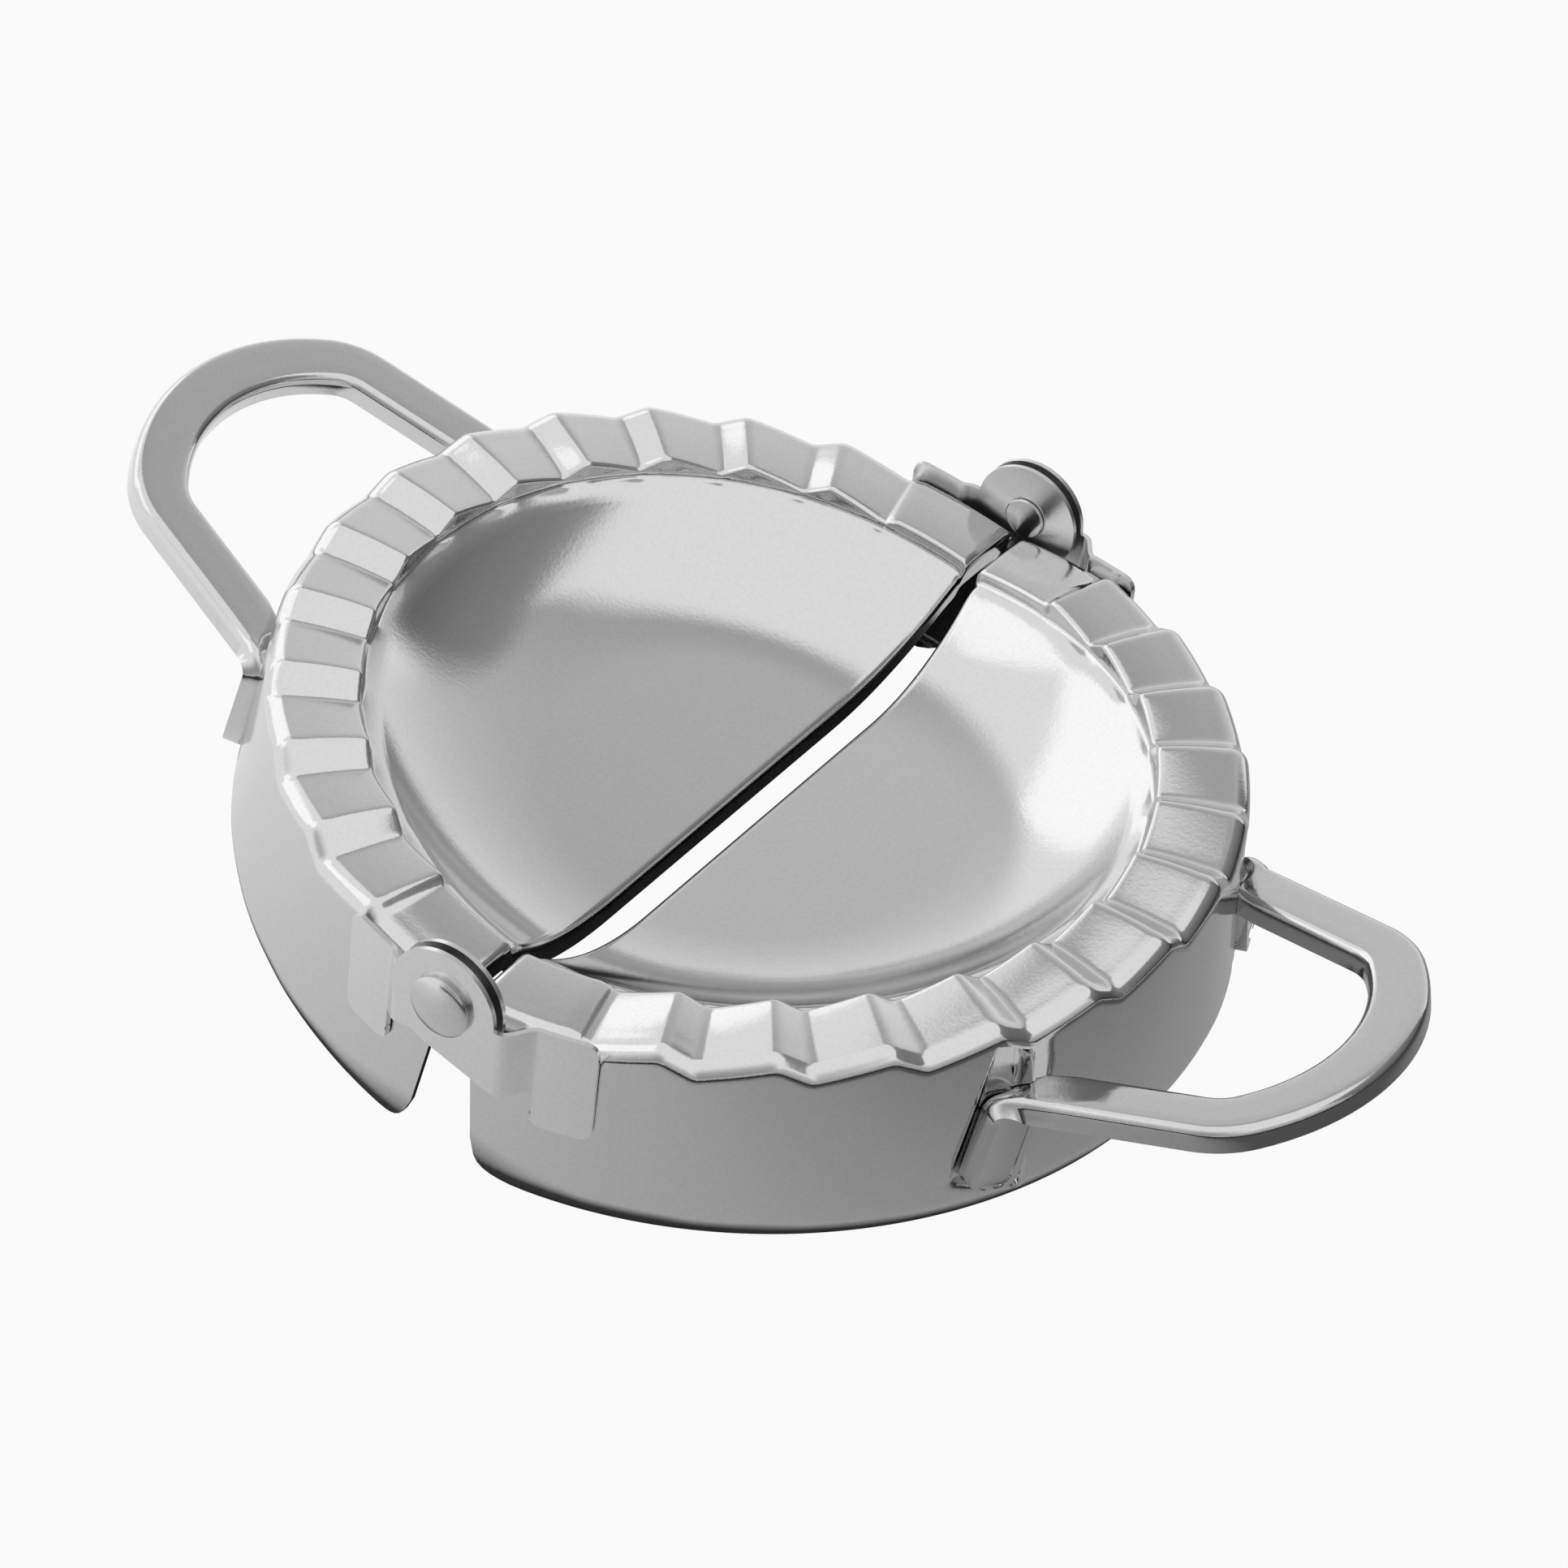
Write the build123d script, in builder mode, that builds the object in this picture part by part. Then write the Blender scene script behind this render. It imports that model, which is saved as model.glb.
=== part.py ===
from build123d import *
from math import atan2, cos, degrees, radians, sin, sqrt, tan
import os

# Empanada press: two stamped half shells on a common hinge axis, each with a
# bent channel handle, joined by two riveted hinges. Millimetres, +Z up.
#
# Every half is drawn in a flat frame of its own: the hinge axis is local Y, the
# half lies on the +X side and the crimped rim faces +Z. The halves are then
# placed by their planes, each raised about the hinge axis by rest_tilt. Both
# half shells are the same stamping, turned half a turn about the vertical.

# ---------------------------------------------------------------- half shell
skirt_radius = 47.5          # outside of the cutter skirt
sheet = 0.6                  # shell sheet
skirt_depth = 22.0           # hinge axis down to the cutting edge
lip_inset = 1.2              # how far the cutting edge is turned in
lip_height = 2.6             # height of the turned-in stretch
lip_mid_share = 0.35         # part of the inset reached halfway down the lip
free_corner_radius = 5.0     # lower corners of the skirt beside the hinge line
edge_gap = 0.4               # hinge plane to the straight edge of the dish and the band
skirt_gap = 1.2              # hinge plane to the skirt's ends
skirt_gap_level = -7.0       # below this the skirt's ends are set back
centre_offset = 0.4          # hinge plane to the centre of the round outline

# crimped rim: a saw-tooth wave pressed into a flat band
crimp_level = -0.85          # mean height of the band, below the hinge axis
crimp_height = 0.70          # wave amplitude to each side of the mean
crimp_pitch = 12.86          # degrees from one valley to the next
crimp_drop = 3.8             # degrees taken by the steep side of a wave
crimp_waves = 12
climb_steps = 3
flat_steps = 5
band_corner_radius = 2.2     # band to skirt
band_edge_radius = 0.8       # band to the inner wall

# dish inside the band
dish_depth = 8.8             # hinge axis down to the dish floor
dish_floor_radius = 19.2
rim_width = 10.9             # skirt to the end of the dish's rise
rim_drop = 2.74              # hinge axis down to the end of the rise
step_run = 0.8               # end of the rise to the foot of the wall
step_rise = 0.35
wall_run = 0.9               # foot of the wall to its top, in plan
tongue_length = 0.5          # how far neighbouring sheets run into each other
seam_overlap = 0.05          # skirt run up into the band

flange_depth = 3.3           # turned-down straight edge, below the dish
flange_sink = 0.25           # top of the flange below the dish's upper face

# -------------------------------------------------------------------- handle
handle_level = -7.2          # top face of the handle at the skirt
handle_slope = 9.0           # degrees, rising outwards
handle_sheet = 0.8
handle_height = 2.5          # depth of the channel
handle_width = 5.8
handle_edge_radius = 1.0
arm_shift = 2.9              # seat's normal to an arm's centre line, across the handle
arm_spread = 12.5            # degrees between an arm and the handle's axis
loop_reach = 21.15           # skirt to the centre line of the round end
loop_radius = 21.0           # centre line of the round end
loop_corner = 7.0            # centre line of the corner between arm and end
bend_radius = 3.6            # web of the bend from arm to leg
bend_steps = 6
leg_lean = 18.0              # degrees, foot towards the hinge line
leg_drop = 9.9               # from the virtual corner of the bend to the foot
foot_radius = 1.5

# recess in the skirt that seats a leg
seat_angle = 20.0            # degrees between the seat's normal and the handle's axis
seat_depth = 1.6             # skirt to the seat, along the seat's normal
seat_inner = 3.05            # seat's normal to the inner side of the recess
seat_top = -3.4
seat_margin = 0.4            # recess around the leg
weld_gap = 0.02              # between faces that are spot welded

# -------------------------------------------------------------------- hinges
leaf_sheet = 0.5
ear_radius = 5.8
ear_clearance = 0.7          # skirt to the inner ear
running_gap = 0.1            # each side of the turning ear
spacer_thickness = 0.8
spacer_radius = 3.0
pad_top = -0.5
pad_bottom = -12.0
pad_corner = 1.3
outer_fold = 6.6             # hinge axis to the fold of the fixed leaf
outer_pad_start = 8.4
outer_pad_end = 14.6
outer_pad_lean = 4.0         # degrees, lower end towards the hinge line
inner_fold = 6.5
inner_pad_start = 7.6
inner_pad_end = 13.0
inner_pad_lean = 11.0
tongue_corner = 5.4          # lowest corner of an ear's tongue, from the hinge axis
tongue_bottom = -7.9

rivet_radius = 1.6
rivet_head_radius = 3.2
rivet_head_height = 1.0
rivet_dome_height = 0.45
rivet_tail_radius = 2.2
rivet_tail_height = 0.3
pin_clearance = 0.04         # turning leaf on its rivet
press_clearance = 0.01       # fixed leaf and spacer on the rivet

# ---------------------------------------------------------------------- pose
rest_tilt = 7.7              # each half is raised by this much about the axis

half_turn = 90.0             # degrees from the handle's axis to the hinge line
beyond = 80.0                # longer than any feature that is cut away
overshoot = 1.0              # blanks and trimming tools run past an edge by this
wall_inner_radius = skirt_radius - sheet
dish_rim_radius = skirt_radius - rim_width
step_radius = dish_rim_radius + step_run
band_inner_radius = step_radius + wall_run
rise_run = dish_rim_radius - dish_floor_radius
rise_height = dish_depth - rim_drop
dish_rise_radius = (rise_run**2 + rise_height**2) / (2 * rise_height)
seat_distance = skirt_radius - seat_depth
arm_offset = seat_distance * sin(radians(seat_angle)) + arm_shift
band_outer_radius = skirt_radius - band_corner_radius
centre = Vector(centre_offset, 0, 0)
up = Vector(0, 0, 1)
tilt_cos = cos(radians(rest_tilt))
tilt_sin = sin(radians(rest_tilt))
foot_height = (skirt_depth - free_corner_radius) * tilt_cos
foot_shift = (skirt_gap + free_corner_radius) * tilt_sin
axis_height = free_corner_radius + foot_height - foot_shift


def upright(angle):
    """Upright plane through the outline's centre; sketch x runs outwards."""
    a = radians(angle)
    return Plane(origin=centre, x_dir=(cos(a), sin(a), 0), z_dir=(sin(a), -cos(a), 0))


def on_circle(middle, radius, angle):
    """Point on a circle in a sketch."""
    a = radians(angle)
    return (middle[0] + radius * cos(a), middle[1] + radius * sin(a))


def dish_level(radius):
    """Height of the dish's upper face."""
    run = max(0.0, radius - dish_floor_radius)
    return -dish_depth + dish_rise_radius - sqrt(dish_rise_radius**2 - run**2)


rise_level = dish_level(dish_rim_radius)
skirt_top = crimp_level - crimp_height - band_corner_radius - 2 * seam_overlap


def band_stations():
    """Angle and level of each section of the crimped band."""
    climb = crimp_pitch - crimp_drop
    first = -((crimp_waves - 1) * crimp_pitch + climb) / 2
    flat_end = half_turn + first - crimp_drop / 2
    stations = []
    for n in range(flat_steps):
        stations.append((-half_turn + n * flat_end / flat_steps, 0.0))
    stations.append((first - crimp_drop / 2, 0.0))
    for wave in range(crimp_waves):
        valley = first + wave * crimp_pitch
        for n in range(climb_steps + 1):
            stations.append((valley + n * climb / climb_steps, 2 * n / climb_steps - 1))
        stations.append((valley + climb + crimp_drop / 2, 0.0))
    for n in range(flat_steps):
        stations.append((half_turn - (flat_steps - 1 - n) * flat_end / flat_steps, 0.0))
    return [(angle, crimp_level + crimp_height * share) for angle, share in stations]


def band_section(angle, level):
    """Section of the band: step up from the dish, band, corner, start of the skirt."""
    edge = (band_inner_radius + band_edge_radius, level - band_edge_radius)
    corner = (band_outer_radius, level - band_corner_radius)
    inner_corner = band_corner_radius - sheet
    tip_radius = dish_rim_radius - tongue_length
    tip = (tip_radius, dish_level(tip_radius) - sheet / 2)
    top_start = (dish_rim_radius, rise_level)
    step_foot = (step_radius, rise_level + step_rise)
    wall_top = (band_inner_radius, level - band_edge_radius)
    band_start = (edge[0], level)
    band_end = (band_outer_radius, level)
    outer_foot = (skirt_radius, level - band_corner_radius)
    outer_end = (skirt_radius, skirt_top)
    skirt_tip = (skirt_radius - sheet / 2, skirt_top - tongue_length)
    inner_end = (wall_inner_radius, skirt_top)
    inner_foot = (wall_inner_radius, level - band_corner_radius)
    under_end = (band_outer_radius, level - sheet)
    under_start = (edge[0], level - sheet)
    under_step = (step_radius + sheet, rise_level + step_rise - sheet)
    under_rise = (dish_rim_radius, rise_level - sheet)
    with BuildSketch(upright(angle)) as section:
        with BuildLine():
            Polyline(tip, top_start, step_foot, wall_top)
            ThreePointArc(wall_top, on_circle(edge, band_edge_radius, 135), band_start)
            Line(band_start, band_end)
            ThreePointArc(band_end, on_circle(corner, band_corner_radius, 45), outer_foot)
            Polyline(outer_foot, outer_end, skirt_tip, inner_end, inner_foot)
            ThreePointArc(inner_foot, on_circle(corner, inner_corner, 45), under_end)
            Polyline(under_end, under_start, under_step, under_rise, tip)
        make_face()
    return section.sketch


# seat of the leg on the +Y side: sketch x runs along the seat away from the
# handle's axis, sketch y runs up
seat_normal = Vector(cos(radians(seat_angle)), sin(radians(seat_angle)), 0)
seat_along = Vector(-sin(radians(seat_angle)), cos(radians(seat_angle)), 0)
seat_plane = Plane(origin=centre + seat_normal * seat_distance, x_dir=seat_along, z_dir=seat_normal)

# centre line of the arm on the +Y side and its virtual corner on the seat
slope_cos = cos(radians(handle_slope))
slope_sin = sin(radians(handle_slope))
arm_out = Vector(
    cos(radians(arm_spread)) * slope_cos,
    -sin(radians(arm_spread)),
    cos(radians(arm_spread)) * slope_sin,
)
arm_root = Vector(skirt_radius, arm_offset, handle_level)
web_distance = seat_distance + weld_gap
arm_reach = (web_distance - (arm_root - centre).dot(seat_normal)) / arm_out.dot(seat_normal)
bend_corner = arm_root + arm_out * arm_reach
lean_sin = sin(radians(leg_lean))
lean_cos = cos(radians(leg_lean))
leg_down = seat_along * lean_sin - up * lean_cos
leg_across = seat_along * lean_cos + up * lean_sin
leg_length = leg_drop / lean_cos
foot = bend_corner + leg_down * leg_length


def recess_outline(margin):
    """Face of the recess on the seat, widened and sunk by a margin."""
    reach = handle_width / 2 + seat_margin + margin
    outer_low = foot + leg_across * reach + leg_down * (seat_margin + margin)
    top = seat_top + margin
    rise = (top - outer_low.Z) / leg_down.Z
    outer_high = outer_low + leg_down * rise
    inner_x = seat_inner - margin
    outer_low_x = (outer_low - seat_plane.origin).dot(seat_along)
    outer_high_x = (outer_high - seat_plane.origin).dot(seat_along)
    inner_low_z = outer_low.Z - (outer_low_x - inner_x) * tan(radians(leg_lean))
    low = (outer_low_x, outer_low.Z)
    high = (outer_high_x, top)
    with BuildSketch(seat_plane.offset(-margin)) as outline:
        with BuildLine():
            Polyline((inner_x, top), high, low, (inner_x, inner_low_z), close=True)
        make_face()
    return outline.sketch


with BuildPart() as seat_block:
    extrude(recess_outline(sheet), amount=skirt_radius - seat_distance + 2 * sheet)
    with BuildSketch(Plane.XY):
        with Locations((centre_offset, 0)):
            Circle(skirt_radius - sheet / 2)
    extrude(amount=-beyond, mode=Mode.INTERSECT)

with BuildPart() as seat_pocket:
    extrude(recess_outline(0), amount=skirt_radius)

with BuildPart() as half_shell:
    loft([band_section(angle, level) for angle, level in band_stations()], ruled=True)

    # dish
    with BuildSketch(upright(-half_turn)):
        with BuildLine():
            middle = (dish_floor_radius, dish_rise_radius - dish_depth)
            inner_rise = (dish_rim_radius, rise_level)
            mid_radius = (dish_floor_radius + dish_rim_radius) / 2
            floor_end = (dish_floor_radius, -dish_depth)
            Line((0, -dish_depth), floor_end)
            ThreePointArc(floor_end, (mid_radius, dish_level(mid_radius)), inner_rise)
            lower_radius = dish_rise_radius + sheet
            lower_end = (dish_rim_radius, middle[1] - sqrt(lower_radius**2 - rise_run**2))
            half_run = mid_radius - dish_floor_radius
            lower_mid = (mid_radius, middle[1] - sqrt(lower_radius**2 - half_run**2))
            Line(inner_rise, lower_end)
            ThreePointArc(lower_end, lower_mid, (dish_floor_radius, -dish_depth - sheet))
            Line((dish_floor_radius, -dish_depth - sheet), (0, -dish_depth - sheet))
            Line((0, -dish_depth - sheet), (0, -dish_depth))
        make_face()
    revolve(axis=Axis(centre, up), revolution_arc=2 * half_turn)

    # skirt with its turned-in lip
    with BuildSketch(upright(-half_turn)):
        with BuildLine():
            lip_top = lip_height - skirt_depth
            skirt_seam = skirt_top - seam_overlap
            lip_mid = lip_inset * lip_mid_share
            outer_low = (skirt_radius - lip_inset, -skirt_depth)
            inner_low = (wall_inner_radius - lip_inset, -skirt_depth)
            half_lip = lip_top - lip_height / 2
            Line((skirt_radius, skirt_seam), (skirt_radius, lip_top))
            ThreePointArc((skirt_radius, lip_top), (skirt_radius - lip_mid, half_lip), outer_low)
            Line(outer_low, inner_low)
            inner_mid = (wall_inner_radius - lip_mid, half_lip)
            ThreePointArc(inner_low, inner_mid, (wall_inner_radius, lip_top))
            Line((wall_inner_radius, lip_top), (wall_inner_radius, skirt_seam))
            Line((wall_inner_radius, skirt_seam), (skirt_radius, skirt_seam))
        make_face()
    revolve(axis=Axis(centre, up), revolution_arc=2 * half_turn)

    # turned-down straight edge of the dish
    with BuildSketch(Plane.YZ.offset(edge_gap)):
        with BuildLine():
            ends = []
            for drop in (flange_sink, flange_depth):
                left = (-dish_rim_radius, rise_level - drop)
                right = (dish_rim_radius, rise_level - drop)
                floor_left = (-dish_floor_radius, -dish_depth - drop)
                floor_right = (dish_floor_radius, -dish_depth - drop)
                mid_level = dish_level(mid_radius) - drop
                ThreePointArc(left, (-mid_radius, mid_level), floor_left)
                Line(floor_left, floor_right)
                ThreePointArc(floor_right, (mid_radius, mid_level), right)
                ends.append((left, right))
            Line(ends[0][0], ends[1][0])
            Line(ends[0][1], ends[1][1])
        make_face()
    extrude(amount=sheet)

    # straight edge, and the skirt's ends with their rounded lower corners
    with Locations((edge_gap - beyond, 0, 0)):
        Box(2 * beyond, 2 * beyond, 2 * beyond, mode=Mode.SUBTRACT)
    for side in (1, -1):
        with BuildSketch(Plane.XZ.offset(-side * step_radius)):
            with BuildLine():
                corner_x = skirt_gap + free_corner_radius
                corner_z = free_corner_radius - skirt_depth
                arc_mid = on_circle((corner_x, corner_z), free_corner_radius, 225)
                Polyline((0, skirt_gap_level), (skirt_gap, skirt_gap_level), (skirt_gap, corner_z))
                ThreePointArc((skirt_gap, corner_z), arc_mid, (corner_x, -skirt_depth))
                Polyline((corner_x, -skirt_depth), (corner_x, -beyond), (0, -beyond), (0, skirt_gap_level))
            make_face()
        extrude(amount=-side * beyond, mode=Mode.SUBTRACT)

    # recesses for the handle's legs
    for side in (1, -1):
        block = seat_block.part if side > 0 else seat_block.part.mirror(Plane.XZ)
        add(block)
    for side in (1, -1):
        pocket = seat_pocket.part if side > 0 else seat_pocket.part.mirror(Plane.XZ)
        add(pocket, mode=Mode.SUBTRACT)

# -------------------------------------------------------------------- handle
handle_plane = Plane(
    origin=(skirt_radius, 0, handle_level),
    x_dir=(slope_cos, 0, slope_sin),
    z_dir=(-slope_sin, 0, slope_cos),
)
handle_up = handle_plane.z_dir


def channel_section(origin, across, forward):
    """Channel profile hanging from a point on the web; sketch x runs across the strip."""
    half = handle_width / 2
    round_off = handle_edge_radius
    inner_round = round_off - handle_sheet
    floor = -handle_sheet
    low = -handle_height
    inner = half - handle_sheet
    with BuildSketch(Plane(origin=origin, x_dir=across, z_dir=forward)) as section:
        with BuildLine():
            right = (half - round_off, -round_off)
            left = (round_off - half, -round_off)
            arc_right = on_circle(right, round_off, 45)
            arc_left = on_circle(left, round_off, 135)
            under_right = on_circle(right, inner_round, 45)
            under_left = on_circle(left, inner_round, 135)
            Line((left[0], 0), (right[0], 0))
            ThreePointArc((right[0], 0), arc_right, (half, -round_off))
            Polyline((half, right[1]), (half, low), (inner, low), (inner, right[1]))
            ThreePointArc((inner, right[1]), under_right, (right[0], floor))
            Line((right[0], floor), (left[0], floor))
            ThreePointArc((left[0], floor), under_left, (-inner, left[1]))
            Polyline((-inner, left[1]), (-inner, low), (-half, low), (-half, left[1]))
            ThreePointArc((-half, left[1]), arc_left, (left[0], 0))
        make_face()
    return section.sketch


def arm_side(side):
    """Directions and points of the arm and leg on one side of the handle's axis."""
    def flip(v):
        return Vector(v.X, v.Y * side, v.Z)
    return flip(arm_root), flip(arm_out), flip(bend_corner), flip(leg_down)


def leg_sections(side):
    """Channel sections from the root of an arm round the bend to the leg's foot."""
    root, outward, corner, down = arm_side(side)
    inward = outward * -1
    turn = inward.get_angle(down)
    tangent = bend_radius * tan(radians(turn) / 2)
    start = corner - inward * tangent
    toward = (down - inward * down.dot(inward)).normalized()
    first_across = handle_up.cross(inward).normalized()
    seat_out = Vector(seat_normal.X, seat_normal.Y * side, 0)
    last_across = (seat_out * -1).cross(down).normalized()
    sections = []
    for step in range(bend_steps + 1):
        share = step / bend_steps
        a = radians(turn * share)
        point = start + inward * (bend_radius * sin(a)) + toward * (bend_radius * (1 - cos(a)))
        forward = inward * cos(a) + toward * sin(a)
        blend = first_across * (1 - share) + last_across * share
        across = (blend - forward * blend.dot(forward)).normalized()
        sections.append(channel_section(point, across, forward))
    sections.append(channel_section(corner + down * leg_length, last_across, down))
    return [channel_section(root, first_across, inward)] + sections


# centre line of the finger loop, in the handle's plane
spread_sin = sin(radians(arm_spread))
spread_cos = cos(radians(arm_spread))
end_centre = loop_reach - loop_radius
lane = (-loop_corner * spread_sin, arm_offset - loop_corner * spread_cos)
lane_dot = spread_cos * (lane[0] - end_centre) - spread_sin * lane[1]
lane_gap = (lane[0] - end_centre) ** 2 + lane[1] ** 2 - (loop_radius - loop_corner) ** 2
arm_length = sqrt(lane_dot**2 - lane_gap) - lane_dot
corner_centre = (lane[0] + arm_length * spread_cos, lane[1] - arm_length * spread_sin)
corner_end = degrees(atan2(corner_centre[1], corner_centre[0] - end_centre))
corner_mid = (half_turn - arm_spread + corner_end) / 2
arm_end = (arm_length * spread_cos, arm_offset - arm_length * spread_sin)
arc_start = on_circle((end_centre, 0), loop_radius, corner_end)
corner_point = on_circle(corner_centre, loop_corner, corner_mid)

with BuildPart() as cope:
    with BuildSketch(Plane.XY):
        with Locations((centre_offset, 0)):
            Circle(skirt_radius + weld_gap)
        with Locations((centre_offset, skirt_radius)):
            Rectangle(2 * beyond, 2 * skirt_radius, mode=Mode.INTERSECT)
    extrude(amount=-skirt_depth)
    with BuildSketch(seat_plane.offset(-skirt_radius)):
        flank_x = seat_inner + weld_gap
        with Locations((flank_x - beyond / 2, 0)):
            Rectangle(beyond, beyond)
    extrude(amount=beyond, mode=Mode.INTERSECT)

with BuildPart() as foot_corners:
    with BuildSketch(Plane(origin=foot, x_dir=leg_across, z_dir=seat_normal)):
        half_leg = handle_width / 2
        low = (half_leg - foot_radius, 0)
        with BuildLine():
            high = (half_leg, foot_radius)
            arc_mid = on_circle((low[0], foot_radius), foot_radius, -45)
            wide = half_leg + overshoot
            Polyline(high, (wide, foot_radius), (wide, -overshoot), (low[0], -overshoot), low)
            ThreePointArc(low, arc_mid, high)
        make_face()
        mirror(about=Plane.YZ)
    extrude(amount=2 * handle_height, both=True)

with BuildPart() as half_handle:
    with BuildLine(handle_plane) as loop_line:
        Line((0, arm_offset), arm_end)
        ThreePointArc(arm_end, corner_point, arc_start)
        ThreePointArc(arc_start, (loop_reach, 0), (arc_start[0], -arc_start[1]))
        ThreePointArc(
            (arc_start[0], -arc_start[1]),
            (corner_point[0], -corner_point[1]),
            (arm_end[0], -arm_end[1]),
        )
        Line((arm_end[0], -arm_end[1]), (0, -arm_offset))
    sweep(channel_section(arm_root, handle_up.cross(arm_out), arm_out), path=loop_line.line)
    for side in (1, -1):
        loft(leg_sections(side), ruled=True)
    for trim in (cope.part, foot_corners.part):
        add(trim, mode=Mode.SUBTRACT)
        add(trim.mirror(Plane.XZ), mode=Mode.SUBTRACT)

# -------------------------------------------------------------------- hinges
inner_ear_face = skirt_radius + ear_clearance
spacer_start = inner_ear_face + leaf_sheet + running_gap
outer_ear_face = spacer_start + spacer_thickness
head_start = outer_ear_face + leaf_sheet
tail_end = inner_ear_face - running_gap
tail_start = tail_end - rivet_tail_height
pad_radius = skirt_radius + weld_gap


def skirt_point(x, radius):
    """Plan point on a circle about the outline's centre, on the +Y side."""
    return (x, sqrt(radius**2 - (x - centre_offset) ** 2))


def leaf(ear_face, fold, pad_start, pad_end, lean, bore):
    """Hinge leaf on the +Y side: ear, jog and a pad that hugs the skirt."""
    slope = tan(radians(lean))
    base = pad_bottom - overshoot
    shift = base * slope
    back = ear_face + leaf_sheet
    slant = leaf_sheet / 2
    outer_radius = pad_radius + leaf_sheet
    jog_in = skirt_point(pad_start + shift - slant, pad_radius)
    jog_out = skirt_point(pad_start + shift + slant, outer_radius)
    middle_in = skirt_point((pad_start + pad_end) / 2 + shift, pad_radius)
    middle_out = skirt_point((pad_start + pad_end) / 2 + shift, outer_radius)
    end_in = skirt_point(pad_end + overshoot, pad_radius)
    end_out = skirt_point(pad_end + overshoot, outer_radius)
    ear_end = shift - ear_radius - overshoot
    corner_reach = sqrt(tongue_corner**2 + tongue_bottom**2 - ear_radius**2)
    to_corner = degrees(atan2(tongue_bottom, tongue_corner))
    touch = on_circle((0, 0), ear_radius, to_corner - degrees(atan2(corner_reach, ear_radius)))
    tongue_end = pad_start + tongue_bottom * slope + slant
    pad_corners = [
        (pad_end + pad_top * slope, pad_top),
        (pad_end + pad_bottom * slope, pad_bottom),
        (pad_start + pad_bottom * slope, pad_bottom),
    ]
    with BuildPart() as blank:
        with BuildSketch(Plane.XY.offset(base)):
            with BuildLine():
                Polyline((ear_end, ear_face), (fold + shift - slant, ear_face), jog_in)
                ThreePointArc(jog_in, middle_in, end_in)
                Line(end_in, end_out)
                ThreePointArc(end_out, middle_out, jog_out)
                Polyline(jog_out, (fold + shift + slant, back), (ear_end, back), (ear_end, ear_face))
            make_face()
        extrude(amount=2 * ear_radius - pad_bottom, dir=(slope, 0, 1))
        with BuildSketch(Plane.XZ.offset(-ear_face - leaf_sheet)) as outline:
            Circle(ear_radius)
            with BuildLine():
                Polyline(
                    (0, 0),
                    touch,
                    (tongue_corner, tongue_bottom),
                    (tongue_end, tongue_bottom),
                    (tongue_end, pad_top),
                    (0, pad_top),
                    close=True,
                )
            make_face()
            with BuildLine():
                Polyline((pad_start + pad_top * slope, pad_top), *pad_corners, close=True)
            make_face()
            for x, z in pad_corners:
                fillet(outline.vertices().sort_by_distance((x, z, 0))[0], radius=pad_corner)
        extrude(amount=skirt_radius, mode=Mode.INTERSECT)
        with BuildSketch(Plane.XZ.offset(-beyond)):
            Circle(bore)
        extrude(amount=beyond, mode=Mode.SUBTRACT)
    return blank.part


fixed_leaf = leaf(
    outer_ear_face, outer_fold, outer_pad_start, outer_pad_end, outer_pad_lean,
    rivet_radius + press_clearance,
)
turning_leaf = leaf(
    inner_ear_face, inner_fold, inner_pad_start, inner_pad_end, inner_pad_lean,
    rivet_radius + pin_clearance,
)

with BuildPart() as rivet:
    with BuildSketch(Plane.YZ):
        with BuildLine():
            head_end = head_start + rivet_head_height
            dome_end = head_end + rivet_dome_height
            Polyline(
                (tail_start, 0),
                (tail_start, rivet_tail_radius),
                (tail_end, rivet_tail_radius),
                (tail_end, rivet_radius),
                (head_start, rivet_radius),
                (head_start, rivet_head_radius),
                (head_end, rivet_head_radius),
            )
            dome_radius = (rivet_head_radius**2 + rivet_dome_height**2) / (2 * rivet_dome_height)
            dome_drop = dome_radius - sqrt(dome_radius**2 - (rivet_head_radius / 2) ** 2)
            dome_mid = (dome_end - dome_drop, rivet_head_radius / 2)
            ThreePointArc((head_end, rivet_head_radius), dome_mid, (dome_end, 0))
            Line((dome_end, 0), (tail_start, 0))
        make_face()
    revolve(axis=Axis.Y)

with BuildPart() as spacer:
    with BuildSketch(Plane.XZ.offset(-spacer_start)):
        Circle(spacer_radius)
        Circle(rivet_radius + press_clearance, mode=Mode.SUBTRACT)
    extrude(amount=-spacer_thickness)

# ------------------------------------------------------------------ assembly
right_place = Plane(
    origin=(0, 0, axis_height),
    x_dir=(tilt_cos, 0, tilt_sin),
    z_dir=(-tilt_sin, 0, tilt_cos),
)
left_place = Plane(
    origin=(0, 0, axis_height),
    x_dir=(-tilt_cos, 0, tilt_sin),
    z_dir=(tilt_sin, 0, tilt_cos),
)
near = Plane.XZ

placed = {
    "shell_right": (half_shell.part, right_place, None),
    "shell_left": (half_shell.part, left_place, None),
    "handle_right": (half_handle.part, right_place, None),
    "handle_left": (half_handle.part, left_place, None),
    "leaf_right_near": (fixed_leaf, right_place, near),
    "leaf_right_far": (fixed_leaf, right_place, None),
    "leaf_left_near": (turning_leaf, left_place, None),
    "leaf_left_far": (turning_leaf, left_place, near),
    "rivet_near": (rivet.part, right_place, near),
    "rivet_far": (rivet.part, right_place, None),
    "spacer_near": (spacer.part, right_place, near),
    "spacer_far": (spacer.part, right_place, None),
}

os.makedirs("parts", exist_ok=True)
for name, (blank, place, flipped) in placed.items():
    with BuildPart() as piece:
        add(place.from_local_coords(blank.mirror(flipped) if flipped else blank))
    piece.part.label = name
    export_step(piece.part, "parts/" + name + ".step")
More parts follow.
